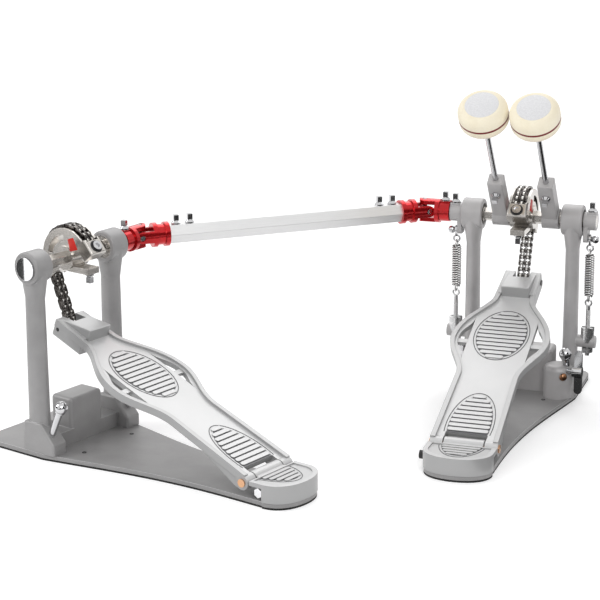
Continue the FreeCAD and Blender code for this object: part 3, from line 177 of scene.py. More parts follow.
near_glow = 0.2
far_glow = 0.35
bpy.ops.object.select_all(action="DESELECT")
bpy.ops.mesh.primitive_plane_add(size=6.0, location=(-0.2, 0.6, 0.0))
floor = bpy.context.object
floor.name = "floor"
floor_paint, shader, place = finish("floor_paint", base_color=(0.9, 0.9, 0.9, 1), roughness=0.9,
                                    specular_ior_level=0.0, emission_strength=1.0)
away = place.node("VectorMath", {"operation": "LENGTH"}, {0: place}, 1)
glow = background_rays(floor_paint.node_tree) * (near_glow + away.between(0.6, 1.6) * far_glow)
glow.mix((0, 0, 0, 1), (1, 1, 1, 1)).into(shader, "Emission Color")
floor.data.materials.append(floor_paint)

world = bpy.data.worlds.new("studio")
scene.world = world
world.use_nodes = True
sky = world.node_tree.nodes["Background"]
background_rays(world.node_tree).mix((0.60, 0.60, 0.605, 1), (1, 1, 1, 1)).into(sky, "Color")

for name, spot, aim, size, power in (("back_lamp", (-0.3, 1.5, 2.0), (-0.2, -0.15, 0.1), 2.2, 27.0),
                                     ("left_lamp", (-2.0, -0.9, 1.2), (-0.2, -0.1, 0.12), 1.1, 15.0),
                                     ("front_lamp", (0.9, -2.3, 1.7), (0.0, -0.1, 0.2), 1.2, 22.0)):
    bpy.ops.object.light_add(type="AREA", location=spot)
    lamp = bpy.context.object
    lamp.name = name
    lamp.data.size = size
    lamp.data.energy = power
    lamp.rotation_euler = (Vector(aim) - Vector(spot)).to_track_quat("-Z", "Y").to_euler()

card_paint, shader, place = finish("card_paint", base_color=(0.02, 0.02, 0.02, 1), roughness=1.0)
upright = math.pi / 2
flat = 0.0
for name, spot, tip, turn, wide, high in (("right_card", (2.2, -1.6, 0.9), upright, 55, 2.2, 1.9),
                                          ("left_card", (-2.4, -1.2, 0.8), upright, -60, 1.5, 1.6),
                                          ("front_card", (-0.1, -3.2, 0.55), upright, 0, 1.1, 0.9),
                                          ("back_card", (0.9, 3.0, 0.35), upright, 165, 2.4, 0.7),
                                          ("near_card", (-0.1, -0.85, 0.004), flat, 0, 1.5, 0.6),
                                          ("side_card", (0.42, -0.25, 0.004), flat, 0, 0.75, 0.85),
                                          ("edge_card", (-1.0921, -0.4967, 0.006), flat, 24.6, 0.6, 0.3)):
    bpy.ops.mesh.primitive_plane_add(size=1.0, location=spot, rotation=(tip, 0, math.radians(turn)))
    card = bpy.context.object
    card.name = name
    card.scale = (wide, high, 1)
    card.data.materials.append(card_paint)
    card.visible_camera = False
    card.visible_diffuse = False
    card.visible_shadow = False

# Camera: a long lens at the photograph's own viewpoint, a little above the pedals and to their right,
# shifted by as much as the picture's framing needs.

lens = bpy.data.cameras.new("camera")
lens.sensor_width = 36.0
lens.lens = 127.655
lens.shift_x = 0.0076
lens.shift_y = -0.0352
lens.clip_end = 60.0
camera = bpy.data.objects.new("camera", lens)
scene.collection.objects.link(camera)
eye = (0.464018, -2.110247, 0.708830)
right = Vector((0.947771, 0.318881, -0.006767))
up = Vector((-0.077520, 0.250881, 0.964909))
back = right.cross(up)
camera.matrix_world = Matrix.Translation(eye) @ Matrix((right, up, back)).transposed().to_4x4()
scene.camera = camera

# Base plates and castings: flat plates, and die-cast posts, ties, hubs and levers, under a satin grey powder
# coat. It has a faint orange peel, drifts a little in shade and is lighter in a thin line along the edges.
# The remote unit's posts and tie take a darker copy of the coat, as painted shade.

main_place = (0.0, 0.0, 0.0)
main_turn = (0.0, 0.0, 0.0)
remote_place = (-0.381873, -0.286030, 0.0)
remote_turn = (0.0, 0.0, math.radians(70.4))
units = (("main", main_place, main_turn), ("remote", remote_place, remote_turn))


def tinted(shade, strength):
    """A colour made lighter or darker."""
    return [part * strength for part in shade] + [1]


def powder_coat(name, shade, edge, gloss, metal):
    material, shader, place = finish(name, metallic=metal, specular_ior_level=0.5)
    drift = place.noise(38.0, detail=4.0)
    peel = place.noise(900.0, detail=2.0)
    rounded = place.rounded(0.0011)
    # A lighter colour is mixed in along a thin band at the sharp edges.
    edge_band = (1 - rounded.along(place.facing())).between(0.004, 0.16) * 0.75
    tone = drift.between(0.3, 0.7).mix(tinted(shade, 0.93), tinted(shade, 1.06))
    edge_band.mix(tone, tinted(edge, 1.0)).into(shader, "Base Color")
    (peel * 0.12 + drift * 0.08 + (gloss - 0.1)).into(shader, "Roughness")
    peel.bump(0.10, 0.0003, rounded).into(shader, "Normal")
    return material


def wear(material, *names):
    """Give CAD pieces a finish."""
    for name in names:
        nodes[name].data.materials.clear()
        nodes[name].data.materials.append(material)


plate_coat = powder_coat("plate_coat", (0.29, 0.285, 0.285), (0.62, 0.62, 0.62), gloss=0.5, metal=0.25)
casting_coat = powder_coat("casting_coat", (0.40, 0.39, 0.39), (0.62, 0.62, 0.62), gloss=0.44, metal=0.20)
# The remote unit's posts and tie take a darker copy of the casting coat, as painted shade.
remote_shaded_coat = powder_coat("remote_shaded_coat", (0.30, 0.295, 0.295), (0.60, 0.60, 0.60), gloss=0.44, metal=0.20)
for unit, coat in (("main", casting_coat), ("remote", remote_shaded_coat)):
    wear(plate_coat, unit + "_base_plate")
    wear(coat, unit + "_left_post", unit + "_right_post", unit + "_cross_tie")
wear(casting_coat, "left_beater_hub", "right_beater_hub", "left_spring_lever", "right_spring_lever",
     "hoop_jaw")

# Rubber mats: black moulded sheets glued under the base plates, with the same round end under the heel.
# Their skin is matt, with a fine grain and a little dust.

rubber, shader, place = finish("mat_rubber", specular_ior_level=0.3)
grain = place.noise(1400.0, detail=2.0)
dust = place.noise(25.0, detail=4.0)
dust.between(0.35, 0.75).mix((0.012, 0.012, 0.012, 1), (0.028, 0.027, 0.026, 1)).into(shader, "Base Color")
(0.62 + grain * 0.2).into(shader, "Roughness")
grain.bump(0.3, 0.0003).into(shader, "Normal")
wear(rubber, "main_base_mat", "remote_base_mat")

# Footboards and heel plates: cast aluminium in a pale satin silver coat, a darker grey on the rims, with
# painted shade on the side walls. The cuts between the ribs of each oval are painted dark, as shade.

hinge = (0.0, -0.238, 0.0195)
board_angle = math.radians(22.3)


def board_frame(unit):
    """Place and turn of a footboard: from its hinge, along the board and out of its face."""
    if unit == "main":
        return hinge, (board_angle, 0.0, 0.0)
    turn = Matrix.Rotation(remote_turn[2], 3, "Z")
    return tuple(turn @ Vector(hinge) + Vector(remote_place)), (board_angle, 0.0, remote_turn[2])


def grey(shade):
    return (shade, shade, shade, 1)


def silver_coat(name, spot, turn, shades, ovals, levels):
    """Coat of a tread: shades of field, rim and wall, its ovals, and the heights of field, ribs and rim."""
    field, rim, wall = shades
    low, rib, high = levels
    rib_inset = 0.0022
    margin = 0.0003
    slack = 0.0004
    material, shader, place = finish(name, metallic=0.25, specular_ior_level=0.5)
    across, along, rise = place.frame(spot, turn).axes()
    drift = place.noise(30.0, detail=4.0)
    flake = place.noise(1600.0, detail=1.0)
    upward = tuple(Euler(turn).to_matrix() @ Vector((0, 0, 1)))
    level = place.facing().along(upward)
    shaded_cuts = 0.0
    for middle, long, half in ovals:
        out_x = across / half
        out_y = (along - middle) / long
        out = (out_x * out_x + out_y * out_y).root()
        cut = (out < 1 - rib_inset / half) * (1 - rise.between(low + margin, low + 2 * margin))
        shaded_cuts = cut.larger(shaded_cuts)
    shaded_cuts = shaded_cuts * (rise > low - slack) * (rise < rib + margin)
    tone = drift.between(0.3, 0.7).mix(grey(field * 0.97), grey(field * 1.02))
    tone = rise.between(rib + slack / 2, high - slack).mix(tone, grey(rim))
    # Faces that turn away from upright get a darker grey: painted shade on the side walls.
    tone = (1 - level.between(0.25, 0.75)).mix(tone, grey(wall))
    # The cuts between the ribs are painted near black: painted shade in the grooves.
    (shaded_cuts * 0.9).mix(tone, (0.07, 0.07, 0.075, 1)).into(shader, "Base Color")
    (flake * 0.10 + drift * 0.10 + 0.28).into(shader, "Roughness")
    (flake * 0.06 - shaded_cuts).bump(0.35, 0.0006, place.rounded(0.0009)).into(shader, "Normal")
    return material


front_oval = (0.163, 0.0395, 0.0278)
heel_oval = (0.022, 0.0485, 0.0232)
rear_oval = (-0.238, 0.0402, 0.0232)
board_shades = (0.60, 0.51, 0.36)
board_levels = (0.0060, 0.0069, 0.0085)
heel_shades = (0.58, 0.54, 0.38)
heel_levels = (0.0220, 0.0229, 0.02325)
for unit, spot, turn in units:
    board_coat = silver_coat(unit + "_board_coat", *board_frame(unit), board_shades, (front_oval, heel_oval),
                             board_levels)
    wear(board_coat, unit + "_footboard")
    heel_coat = silver_coat(unit + "_heel_coat", spot, turn, heel_shades, (rear_oval,), heel_levels)
    wear(heel_coat, unit + "_heel_plate")

# Oval lines: thin beads round each ribbed oval, painted near black as the shade in the groove there. The oval
# at the hinge is cut across, so one part of its bead is on the footboard and the other on the heel plate.

bead_shade_paint, shader, place = finish("oval_line_shade", specular_ior_level=0.4)
speck = place.noise(400.0)
# The beads' near-black colour is painted shade, for the dark groove round each oval.
speck.mix((0.05, 0.05, 0.054, 1), (0.10, 0.10, 0.105, 1)).into(shader, "Base Color")
(0.35 + speck * 0.2).into(shader, "Roughness")
line_wide = 0.0008
line_high = 0.00025
slot_edge = 0.0108
heel_edge = -0.2498


def pick(kind, wanted):
    """In edit mode, select only the faces or edges that pass a test."""
    bpy.ops.mesh.select_mode(type=kind)
    bpy.ops.mesh.select_all(action="DESELECT")
    form = bmesh.from_edit_mesh(bpy.context.object.data)
    for item in (form.faces if kind == "FACE" else form.edges):
        if wanted(item):
            item.select_set(True)
    form.select_flush_mode()
    bmesh.update_edit_mesh(bpy.context.object.data)


def settle(piece, body, material, turn):
    """Put a modelled piece in its place, leave its object at the origin and hand it to its body."""
    bpy.ops.object.mode_set(mode="OBJECT")
    piece.data.transform(turn @ piece.matrix_world)
    piece.matrix_world = Matrix.Identity(4)
    bpy.ops.object.transform_apply(location=True, rotation=True, scale=True)
    bpy.ops.object.shade_smooth_by_angle(angle=math.radians(35))
    piece.data.materials.clear()
    piece.data.materials.append(material)
    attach(piece, body)


def oval_line(name, oval, level, keep, body, matrix):
    """Bead round an oval, cut off where the tread ends: keep holds the cut's place and its kept side."""
    middle, long, half = oval
    bpy.ops.object.select_all(action="DESELECT")
    bpy.ops.mesh.primitive_circle_add(vertices=96, radius=1.0, fill_type="NGON", location=(0, middle, level))
    bead = bpy.context.object
    bead.name = name
    bead.scale = (half + line_wide / 2, long + line_wide / 2, 1)
    bpy.ops.object.transform_apply(location=True, rotation=True, scale=True)
    bpy.ops.object.mode_set(mode="EDIT")
    bpy.ops.mesh.select_all(action="SELECT")
    bpy.ops.mesh.inset(thickness=line_wide)
    bpy.ops.mesh.delete(type="FACE")
    bpy.ops.mesh.select_all(action="SELECT")
    bpy.ops.mesh.extrude_region_move(TRANSFORM_OT_translate={"value": (0, 0, line_high)})
    if keep is not None:
        cut, side = keep
        bpy.ops.mesh.select_all(action="SELECT")
        bpy.ops.mesh.bisect(plane_co=(0, cut, 0), plane_no=(0, side, 0), clear_inner=True, use_fill=True)
    bpy.ops.mesh.select_all(action="SELECT")
    bpy.ops.mesh.remove_doubles(threshold=0.00001)
    bpy.ops.mesh.normals_make_consistent(inside=False)
    settle(bead, body, bead_shade_paint, matrix)


def frame_matrix(spot, turn):
    return Matrix.Translation(spot) @ Euler(turn).to_matrix().to_4x4()


for unit, spot, turn in units:
    on_board = frame_matrix(*board_frame(unit))
    on_heel = frame_matrix(spot, turn)
    oval_line(unit + "_front_line", front_oval, board_levels[0], None, unit + "_board", on_board)
    oval_line(unit + "_hinge_line", heel_oval, board_levels[0], (slot_edge, 1), unit + "_board", on_board)
    oval_line(unit + "_heel_line", rear_oval, heel_levels[0], (heel_edge, -1), unit + "_frame", on_heel)

# Hinge pins and heel locks: a copper-plated hinge pin with flat heads, and behind it a cross rod with a
# black knob screwed on its outer side and a plated nut on the other.

lock_from = -0.247
knob_sides = {"main": -1.0, "remote": 1.0}
for unit, spot, turn in units:
    material, shader, place = finish(unit + "_pin_plating")
    across, along, rise = place.frame(spot, turn).axes()
    lock = along < lock_from
    knob = lock * (across * knob_sides[unit] > 0.0)
    smudge = place.noise(220.0)
    plating = lock.mix((0.66, 0.38, 0.22, 1), (0.80, 0.80, 0.81, 1))
    knob.mix(plating, (0.012, 0.012, 0.013, 1)).into(shader, "Base Color")
    (1 - knob).into(shader, "Metallic")
    (0.12 + smudge * 0.14 + knob * 0.3).into(shader, "Roughness")
    wear(material, unit + "_heel_pins")

# Polished chrome: the drum-key bolts, the swivels over the springs, the clamp's wing bolt and the spurs,
# all of plated steel, bright with faint smudges from hands. The chain pins are left dark.


def chrome(name, shade, polish):
    material, shader, place = finish(name, metallic=1.0)
    smudge = place.noise(160.0, detail=4.0)
    tone = smudge.between(0.4, 0.8).mix(tinted(shade, 1.0), tinted(shade, 0.9))
    tone.into(shader, "Base Color")
    (polish + smudge * 0.08).into(shader, "Roughness")
    return material


bright_chrome = chrome("bright_chrome", (0.60, 0.60, 0.61), 0.05)
wear(bright_chrome, "left_rocker_bolts", "right_rocker_bolts", "remote_rocker_bolts", "tube_bolts",
     "left_spring_swivel", "right_spring_swivel", "hoop_wing_bolt")
for unit in ("main", "remote"):
    wear(bright_chrome, unit + "_left_spur", unit + "_right_spur")
    wear(chrome(unit + "_pin_steel", (0.05, 0.05, 0.05), 0.25), unit + "_chain_pin")

# Rocker shafts, bearings and cams: machined steel under satin nickel, slightly warm, with brushing marks
# along the bars and a smoother face on the cams. Past its left bearing a shaft's end is a polished mirror.

cap_start = 0.0637


def nickel(name, spot, turn, stretch, mirror_from=1.0):
    """Satin nickel, brushed along a direction, and mirror bright beyond a distance along the axis."""
    material, shader, place = finish(name, metallic=1.0)
    own = place.frame(spot, turn)
    brushed = own.stretched(stretch).noise(60.0, detail=4.0, roughness=0.65)
    drift = own.noise(45.0)
    satin = own.axes()[0] > -mirror_from
    tone = drift.between(0.3, 0.75).mix((0.57, 0.545, 0.515, 1), (0.49, 0.465, 0.435, 1))
    satin.mix((0.70, 0.70, 0.71, 1), tone).into(shader, "Base Color")
    (0.02 + satin * (0.14 + brushed * 0.16)).into(shader, "Roughness")
    (brushed * satin).bump(0.05, 0.0001, place.rounded(0.0006)).into(shader, "Normal")
    return material


shafts = {"main": ("left_rocker_shaft", "right_rocker_shaft"), "remote": ("remote_rocker_shaft",)}
for unit, spot, turn in units:
    shaft_nickel = nickel(unit + "_shaft_nickel", spot, turn, (1.0, 30.0, 30.0), cap_start)
    wear(shaft_nickel, unit + "_bearings", *shafts[unit])
    wear(nickel(unit + "_cam_nickel", spot, turn, (8.0, 8.0, 20.0)), unit + "_cam")

# Chains: oiled roller chain two rows wide, pressed together from steel. The link plates are mottled with oil
# and painted dark as shade, and the rollers between them are painted bright as highlights.

row_out = 0.00295
roller_half = 0.0008
for unit, spot, turn in units:
    material, shader, place = finish(unit + "_chain_steel", metallic=1.0)
    across, along, rise = place.frame(spot, turn).axes()
    roller_highlight = 1 - abs(abs(across) - row_out).between(roller_half, roller_half + 0.00015)
    oil = place.noise(420.0)
    plate = oil.between(0.35, 0.7).mix((0.07, 0.064, 0.06, 1), (0.17, 0.157, 0.147, 1))
    # Rollers painted bright as highlights, plates painted dark as shade round them.
    roller_highlight.mix(plate, (0.86, 0.85, 0.83, 1)).into(shader, "Base Color")
    (0.12 + oil * 0.2).into(shader, "Roughness")
    wear(material, unit + "_cam_chain", unit + "_drive_chain")

# Cam marks: small red plates on both sides of each cam, by which its setting is read. They are cut from
# thin sheet, painted and glued on, with a rounded outer edge.

mark_red, shader, place = finish("mark_red", specular_ior_level=0.4)
speck = place.noise(300.0)
speck.between(0.3, 0.75).mix((0.62, 0.022, 0.012, 1), (0.50, 0.014, 0.01, 1)).into(shader, "Base Color")
(0.32 + speck * 0.12).into(shader, "Roughness")
cam_side = 0.0104
mark_thick = 0.0005
mark_rounding = 0.0003
mark_corners = ((-0.0045, 0.2090), (-0.0118, 0.2118), (-0.0172, 0.2004), (-0.0080, 0.1975))
remote_matrix = Matrix.Translation(remote_place) @ Matrix.Rotation(remote_turn[2], 4, "Z")
unit_matrices = (("main", Matrix.Identity(4)), ("remote", remote_matrix))
sides = (("left", -1), ("right", 1))
for unit, unit_matrix in unit_matrices:
    for word, side in sides:
        bpy.ops.object.select_all(action="DESELECT")
        bpy.ops.mesh.primitive_plane_add(size=1.0)
        mark = bpy.context.object
        mark.name = "%s_%s_cam_mark" % (unit, word)
        corners = mark_corners if side < 0 else mark_corners[::-1]
        for vertex, number in zip(mark.data.vertices, (0, 1, 3, 2)):
            vertex.co = (side * cam_side, corners[number][0], corners[number][1])
        bpy.ops.object.mode_set(mode="EDIT")
        pick("FACE", lambda face: True)
        bpy.ops.mesh.extrude_region_move(TRANSFORM_OT_translate={"value": (side * mark_thick, 0, 0)})
        bpy.ops.mesh.select_all(action="SELECT")
        bpy.ops.mesh.normals_make_consistent(inside=False)
        pick("EDGE", lambda edge: all(abs(v.co.x) > cam_side + 0.0004 for v in edge.verts))
        bpy.ops.mesh.bevel(offset=mark_rounding, segments=2)
        settle(mark, unit + "_rocker", mark_red, unit_matrix)

# Anchor washers: blackened steel rings, pressed a little flat, round the socket screw that holds
# the chain's end on each cam.

black_oxide, shader, place = finish("black_oxide", metallic=0.6)
speck = place.noise(500.0, detail=2.0)
speck.mix((0.016, 0.016, 0.017, 1), (0.035, 0.034, 0.034, 1)).into(shader, "Base Color")
(0.3 + speck * 0.2).into(shader, "Roughness")
anchor_swing = math.radians(40.28)
anchor_spot = (0, -0.03256, 0.20448)
washer_radius = 0.0056
washer_wire = 0.0009
washer_flatness = 0.6
for unit, unit_matrix in unit_matrices:
    bpy.ops.object.select_all(action="DESELECT")
    bpy.ops.mesh.primitive_torus_add(location=anchor_spot, rotation=(math.pi / 2 - anchor_swing, 0, 0),
                                     major_segments=48, minor_segments=12, major_radius=washer_radius,
                                     minor_radius=washer_wire)
    washer = bpy.context.object
    washer.name = unit + "_anchor_washer"
    bpy.ops.object.mode_set(mode="EDIT")
    bpy.ops.mesh.select_all(action="SELECT")
    bpy.ops.transform.resize(value=(1, 1, washer_flatness), orient_type="LOCAL")
    settle(washer, unit + "_rocker", black_oxide, unit_matrix)

# Beaters: wheel-shaped heads of pressed cream felt with a dark red line round their middle, each on a bright
# steel rod that slides in its hub. A bare pale disc is let into the top of each head.

lean = math.radians(36.5)
hub_height = 0.190
head_radius = 0.0252
head_middle = 0.153
head_thick = 0.028
head_rounding = 0.009
top_border = 0.0012
top_sink = 0.0004
foot_border = 0.008
foot_sink = 0.0007
line_drop = 0.0006
line_half = 0.0011
line_reach = 0.02
disc_radius = 0.0170
disc_thick = 0.0012
disc_rounding = 0.0004
disc_paint, shader, place = finish("disc_paint", specular_ior_level=0.4)
grain = place.noise(700.0)
grain.between(0.3, 0.7).mix((0.66, 0.66, 0.67, 1), (0.73, 0.73, 0.74, 1)).into(shader, "Base Color")
(0.36 + grain * 0.15).into(shader, "Roughness")
rod_steel = chrome("rod_steel", (0.56, 0.56, 0.57), 0.12)
for word, across in (("left", -0.0224), ("right", 0.0297)):
    tilt = Matrix.Translation((across, 0, hub_height)) @ Matrix.Rotation(lean, 4, "X")
    centre = tilt @ Vector((0, 0, head_middle))
    felt, shader, place = finish(word + "_felt_wool", sheen_weight=0.35, sheen_roughness=0.5,
                                 specular_ior_level=0.15)
    own = place.frame(tuple(centre), (lean, 0, 0))
    x, y, z = own.axes()
    fibre = own.noise(520.0, detail=6.0, roughness=0.7)
    cloud = own.noise(60.0)
    stripe = 1 - abs(z + line_drop).between(line_half, line_half + 0.0003)
    stripe = stripe * (x * x + y * y > line_reach ** 2)
    wool = (cloud * 0.6 + fibre * 0.4).between(0.3, 0.7).mix((0.84, 0.76, 0.58, 1), (0.91, 0.845, 0.68, 1))
    underside = (-1.0 * z).between(0.004, 0.011)
    wool = (underside * 0.5).mix(wool, (0.80, 0.66, 0.57, 1))
    stripe.mix(wool, (0.17, 0.010, 0.012, 1)).into(shader, "Base Color")
    (0.82 + fibre * 0.15).into(shader, "Roughness")
    (fibre - stripe * 0.6).bump(0.35, 0.0006).into(shader, "Normal")

    bpy.ops.object.select_all(action="DESELECT")
    bpy.ops.mesh.primitive_cylinder_add(vertices=72, radius=head_radius, depth=head_thick)
    head = bpy.context.object
    head.name = word + "_felt"
    bpy.ops.object.mode_set(mode="EDIT")
    pick("EDGE", lambda edge: abs(edge.verts[0].co.z - edge.verts[1].co.z) < 1e-5)
    bpy.ops.mesh.bevel(offset=head_rounding, segments=9, profile=0.5)
    pick("FACE", lambda face: face.normal.z > 0.99)
    bpy.ops.mesh.inset(thickness=top_border)
    bpy.ops.transform.translate(value=(0, 0, -top_sink))
    pick("FACE", lambda face: face.normal.z < -0.99)
    bpy.ops.mesh.inset(thickness=foot_border)
    bpy.ops.transform.translate(value=(0, 0, foot_sink))
    settle(head, word + "_beater", felt, tilt @ Matrix.Translation((0, 0, head_middle)))
    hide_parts(word + "_beater_head")

    bpy.ops.object.select_all(action="DESELECT")
    bpy.ops.mesh.primitive_cylinder_add(vertices=64, radius=disc_radius, depth=disc_thick)
    disc = bpy.context.object
    disc.name = word + "_cap_disc"
    bpy.ops.object.mode_set(mode="EDIT")
    pick("EDGE", lambda edge: all(v.co.z > 0.0005 for v in edge.verts))
    bpy.ops.mesh.bevel(offset=disc_rounding, segments=3)
    disc_middle = head_middle + head_thick / 2 - disc_thick / 2
    settle(disc, word + "_beater", disc_paint, tilt @ Matrix.Translation((0, 0, disc_middle)))
    wear(rod_steel, word + "_beater_rod")

# Springs: plated steel wire, wound in open turns that draw in at both ends to a long loop, and hooked
# between the swivel above and the tension rod below. Each stretches as its lever turns. The inner half of
# its wire is painted dark, as the shade inside the coil.

spring_out = 0.0708
wire = 0.0008
coil_radius = 0.0046
coil_low = 0.1096
coil_turns = 18
coil_pitch = 0.00252
coil_long = coil_turns * coil_pitch
turn_steps = 28
drawn_in = 0.34
loop_low = 0.10404
loop_high = 0.1605
loop_radius = 0.0042
loop_lap = 1.6 * coil_pitch
spring_steel = chrome("spring_steel", (0.66, 0.655, 0.65), 0.06)
spring_inner_shade = chrome("spring_inner_shade", (0.10, 0.097, 0.094), 0.25)


def wind(piece, pitch, count, steps):
    """Turn a wire's outline round the upright axis, rising by a pitch at each turn."""
    turns = piece.modifiers.new("turns", "SCREW")
    turns.axis = "Z"
    turns.screw_offset = pitch
    turns.iterations = count
    turns.steps = steps
    turns.render_steps = steps
    bpy.ops.object.modifier_apply(modifier="turns")


for word, side in sides:
    across = side * spring_out
    bpy.ops.object.select_all(action="DESELECT")
    bpy.ops.mesh.primitive_circle_add(vertices=10, radius=wire, location=(coil_radius, 0, 0),
                                      rotation=(math.pi / 2, 0, 0))
    coil = bpy.context.object
    coil.name = word + "_coil"
    bpy.ops.object.transform_apply(location=True, rotation=True)
    wind(coil, coil_pitch, coil_turns, turn_steps)
    for vertex in coil.data.vertices:
        end = min(vertex.co.z, coil_long - vertex.co.z) / (1.5 * coil_pitch)
        draw = 1 - drawn_in + drawn_in * math.sin(max(0.0, min(1.0, end)) * math.pi / 2)
        reach = math.hypot(vertex.co.x, vertex.co.y)
        scale = (coil_radius * draw + (reach - coil_radius)) / reach
        vertex.co.x *= scale
        vertex.co.y *= scale
    coil.data.materials.append(spring_steel)
    coil.data.materials.append(spring_inner_shade)
    # Faces on the inner half of the wire take the dark metal: painted shade inside the coil.
    for face in coil.data.polygons:
        face.material_index = int(math.hypot(face.center.x, face.center.y) < coil_radius + 0.2 * wire)
    coil.location = (across, 0, coil_low)
    loops = []
    for low, high in ((loop_low, coil_low + loop_lap), (coil_low + coil_long - loop_lap, loop_high)):
        bpy.ops.mesh.primitive_torus_add(location=(across, 0, (low + high) / 2), rotation=(0, math.pi / 2, 0),
                                         major_segments=40, minor_segments=10, major_radius=loop_radius,
                                         minor_radius=wire)
        loop = bpy.context.object
        loop.data.materials.append(spring_steel)
        bpy.ops.object.mode_set(mode="EDIT")
        bpy.ops.mesh.select_all(action="SELECT")
        bpy.ops.transform.resize(value=(1, 1, (high - low) / (2 * loop_radius)))
        bpy.ops.object.mode_set(mode="OBJECT")
        loops.append(loop)
    bpy.ops.object.select_all(action="DESELECT")
    for part in loops + [coil]:
        part.select_set(True)
    bpy.context.view_layer.objects.active = coil
    bpy.ops.object.join()
    bpy.ops.object.transform_apply(location=True, rotation=True, scale=True)
    bpy.ops.object.mode_set(mode="EDIT")
    bpy.ops.mesh.select_all(action="SELECT")
    bpy.ops.mesh.normals_make_consistent(inside=False)
    bpy.ops.object.mode_set(mode="OBJECT")
    bpy.ops.object.shade_smooth()
    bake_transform(coil)
    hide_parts(word + "_spring")

# Tension rods: zinc-plated steel rods with an eye for the spring, saddle nuts and lock nuts. A rolled thread
# runs up each of them, made here as a wound ridge on the CAD rod.

zinc, shader, place = finish("rod_zinc", metallic=1.0)
bare = place.noise(260.0, detail=4.0)
bare.between(0.3, 0.7).mix((0.70, 0.70, 0.70, 1), (0.58, 0.58, 0.585, 1)).into(shader, "Base Color")
(0.2 + bare * 0.16).into(shader, "Roughness")
wear(zinc, "tension_rods")
thread_low = 0.0705
thread_long = 0.024
thread_pitch = 0.0009
thread_ridge = 0.0004
rod_radius = 0.00225
for word, side in sides:
    bpy.ops.object.select_all(action="DESELECT")
    bpy.ops.mesh.primitive_circle_add(vertices=4, radius=thread_ridge, location=(rod_radius, 0, 0),
                                      rotation=(math.pi / 2, 0, 0))
    thread = bpy.context.object
    thread.name = word + "_rod_thread"
    bpy.ops.object.transform_apply(location=True, rotation=True)
    wind(thread, thread_pitch, round(thread_long / thread_pitch), 20)
    bpy.ops.object.mode_set(mode="EDIT")
    bpy.ops.mesh.select_all(action="SELECT")
    bpy.ops.mesh.region_to_loop()
    bpy.ops.mesh.edge_face_add()
    bpy.ops.mesh.select_all(action="SELECT")
    bpy.ops.mesh.normals_make_consistent(inside=False)
    settle(thread, "main_frame", zinc, Matrix.Translation((side * spring_out, 0, thread_low)))

# Plate screws: small black steel screws, sunk flush in each base plate just behind the cross tie.
# Each head has a raised rim round a shallow recess.

screw_radius = 0.0022
screw_deep = 0.0012
screw_out = 0.034
screw_along = -0.040
screw_rise = 0.0057
screw_rim = 0.0005
recess_step = 0.0006
recess_deep = 0.0005
for unit, unit_matrix in unit_matrices:
    for word, side in sides:
        bpy.ops.object.select_all(action="DESELECT")
        bpy.ops.mesh.primitive_cylinder_add(vertices=32, radius=screw_radius, depth=screw_deep,
                                            location=(side * screw_out, screw_along, screw_rise))
        plate_screw = bpy.context.object
        plate_screw.name = "%s_%s_plate_screw" % (unit, word)
        bpy.ops.object.transform_apply(location=True, rotation=True)
        bpy.ops.object.mode_set(mode="EDIT")
        pick("FACE", lambda face: face.normal.z > 0.99)
        bpy.ops.mesh.inset(thickness=screw_rim)
        bpy.ops.mesh.inset(thickness=recess_step)
        bpy.ops.mesh.extrude_region_move(TRANSFORM_OT_translate={"value": (0, 0, -recess_deep)})
        settle(plate_screw, unit + "_frame", black_oxide, unit_matrix)

# Cover screw: a tarnished, copper-plated dome screw on the housing of the clamp's wing bolt, screwed into
# the housing's round wall with its flat side against it.

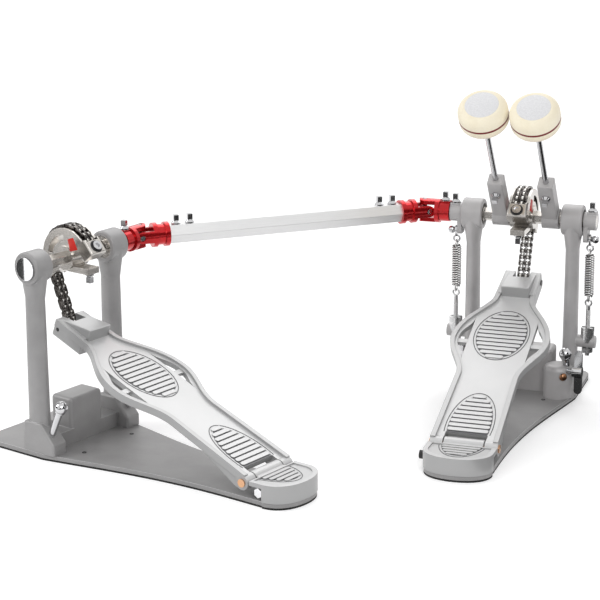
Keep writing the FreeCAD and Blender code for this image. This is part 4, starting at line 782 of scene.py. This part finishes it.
copper, shader, place = finish("screw_copper", metallic=1.0)
tarnish = place.noise(380.0, detail=4.0)
tarnish.between(0.3, 0.7).mix((0.42, 0.22, 0.12, 1), (0.28, 0.14, 0.08, 1)).into(shader, "Base Color")
(0.2 + tarnish * 0.2).into(shader, "Roughness")
dome_radius = 0.0042
dome_cut = 0.0008
dome_flatness = 0.75
housing_middle = Vector((0.0453, -0.0225, 0.0312))
seat = Vector((0.0530, -0.0353, 0.0312))
bpy.ops.object.select_all(action="DESELECT")
bpy.ops.mesh.primitive_uv_sphere_add(segments=32, ring_count=16, radius=dome_radius)
cover_screw = bpy.context.object
cover_screw.name = "cover_screw"
bpy.ops.object.mode_set(mode="EDIT")
bpy.ops.mesh.select_all(action="SELECT")
bpy.ops.mesh.bisect(plane_co=(0, 0, dome_cut), plane_no=(0, 0, 1), clear_inner=True, use_fill=True)
bpy.ops.mesh.select_all(action="SELECT")
bpy.ops.transform.resize(value=(1, 1, dome_flatness))
bpy.ops.mesh.normals_make_consistent(inside=False)
outward = (seat - housing_middle).normalized().to_track_quat("Z", "Y").to_matrix().to_4x4()
settle(cover_screw, "main_frame", copper, Matrix.Translation(seat) @ outward)

# Drive shaft: glossy red anodised yokes and steel crosses at both ends of a satin aluminium hexagon
# tube, which slides on an inner steel rod and is held there by key bolts.

shaft_turn = (0.0, 0.0, math.radians(38.6))
joint_place = (-0.1055, 0.0, hub_height)
red, shader, place = finish("yoke_red", metallic=0.8, coat_weight=0.35, coat_roughness=0.08)
own = place.frame(joint_place, shaft_turn)
ring = own.stretched((18.0, 1.0, 1.0)).noise(90.0, roughness=0.6)
drift = own.noise(55.0)
drift.between(0.3, 0.7).mix((0.52, 0.009, 0.013, 1), (0.42, 0.007, 0.010, 1)).into(shader, "Base Color")
(0.15 + ring * 0.16).into(shader, "Roughness")
ring.bump(0.08, 0.0002, place.rounded(0.0009)).into(shader, "Normal")
wear(red, "main_yoke", "remote_yoke", "tube_yoke", "rod_yoke")

tube_satin, shader, place = finish("tube_satin", metallic=0.7)
own = place.frame(joint_place, shaft_turn)
drawn = own.stretched((1.0, 40.0, 40.0)).noise(45.0, detail=4.0, roughness=0.6)
drawn.between(0.2, 0.8).mix((0.70, 0.70, 0.70, 1), (0.76, 0.76, 0.76, 1)).into(shader, "Base Color")
(0.26 + drawn * 0.16).into(shader, "Roughness")
drawn.bump(0.08, 0.0002, place.rounded(0.0008)).into(shader, "Normal")
wear(tube_satin, "drive_tube")
wear(rod_steel, "drive_rod", "main_cross", "remote_cross")
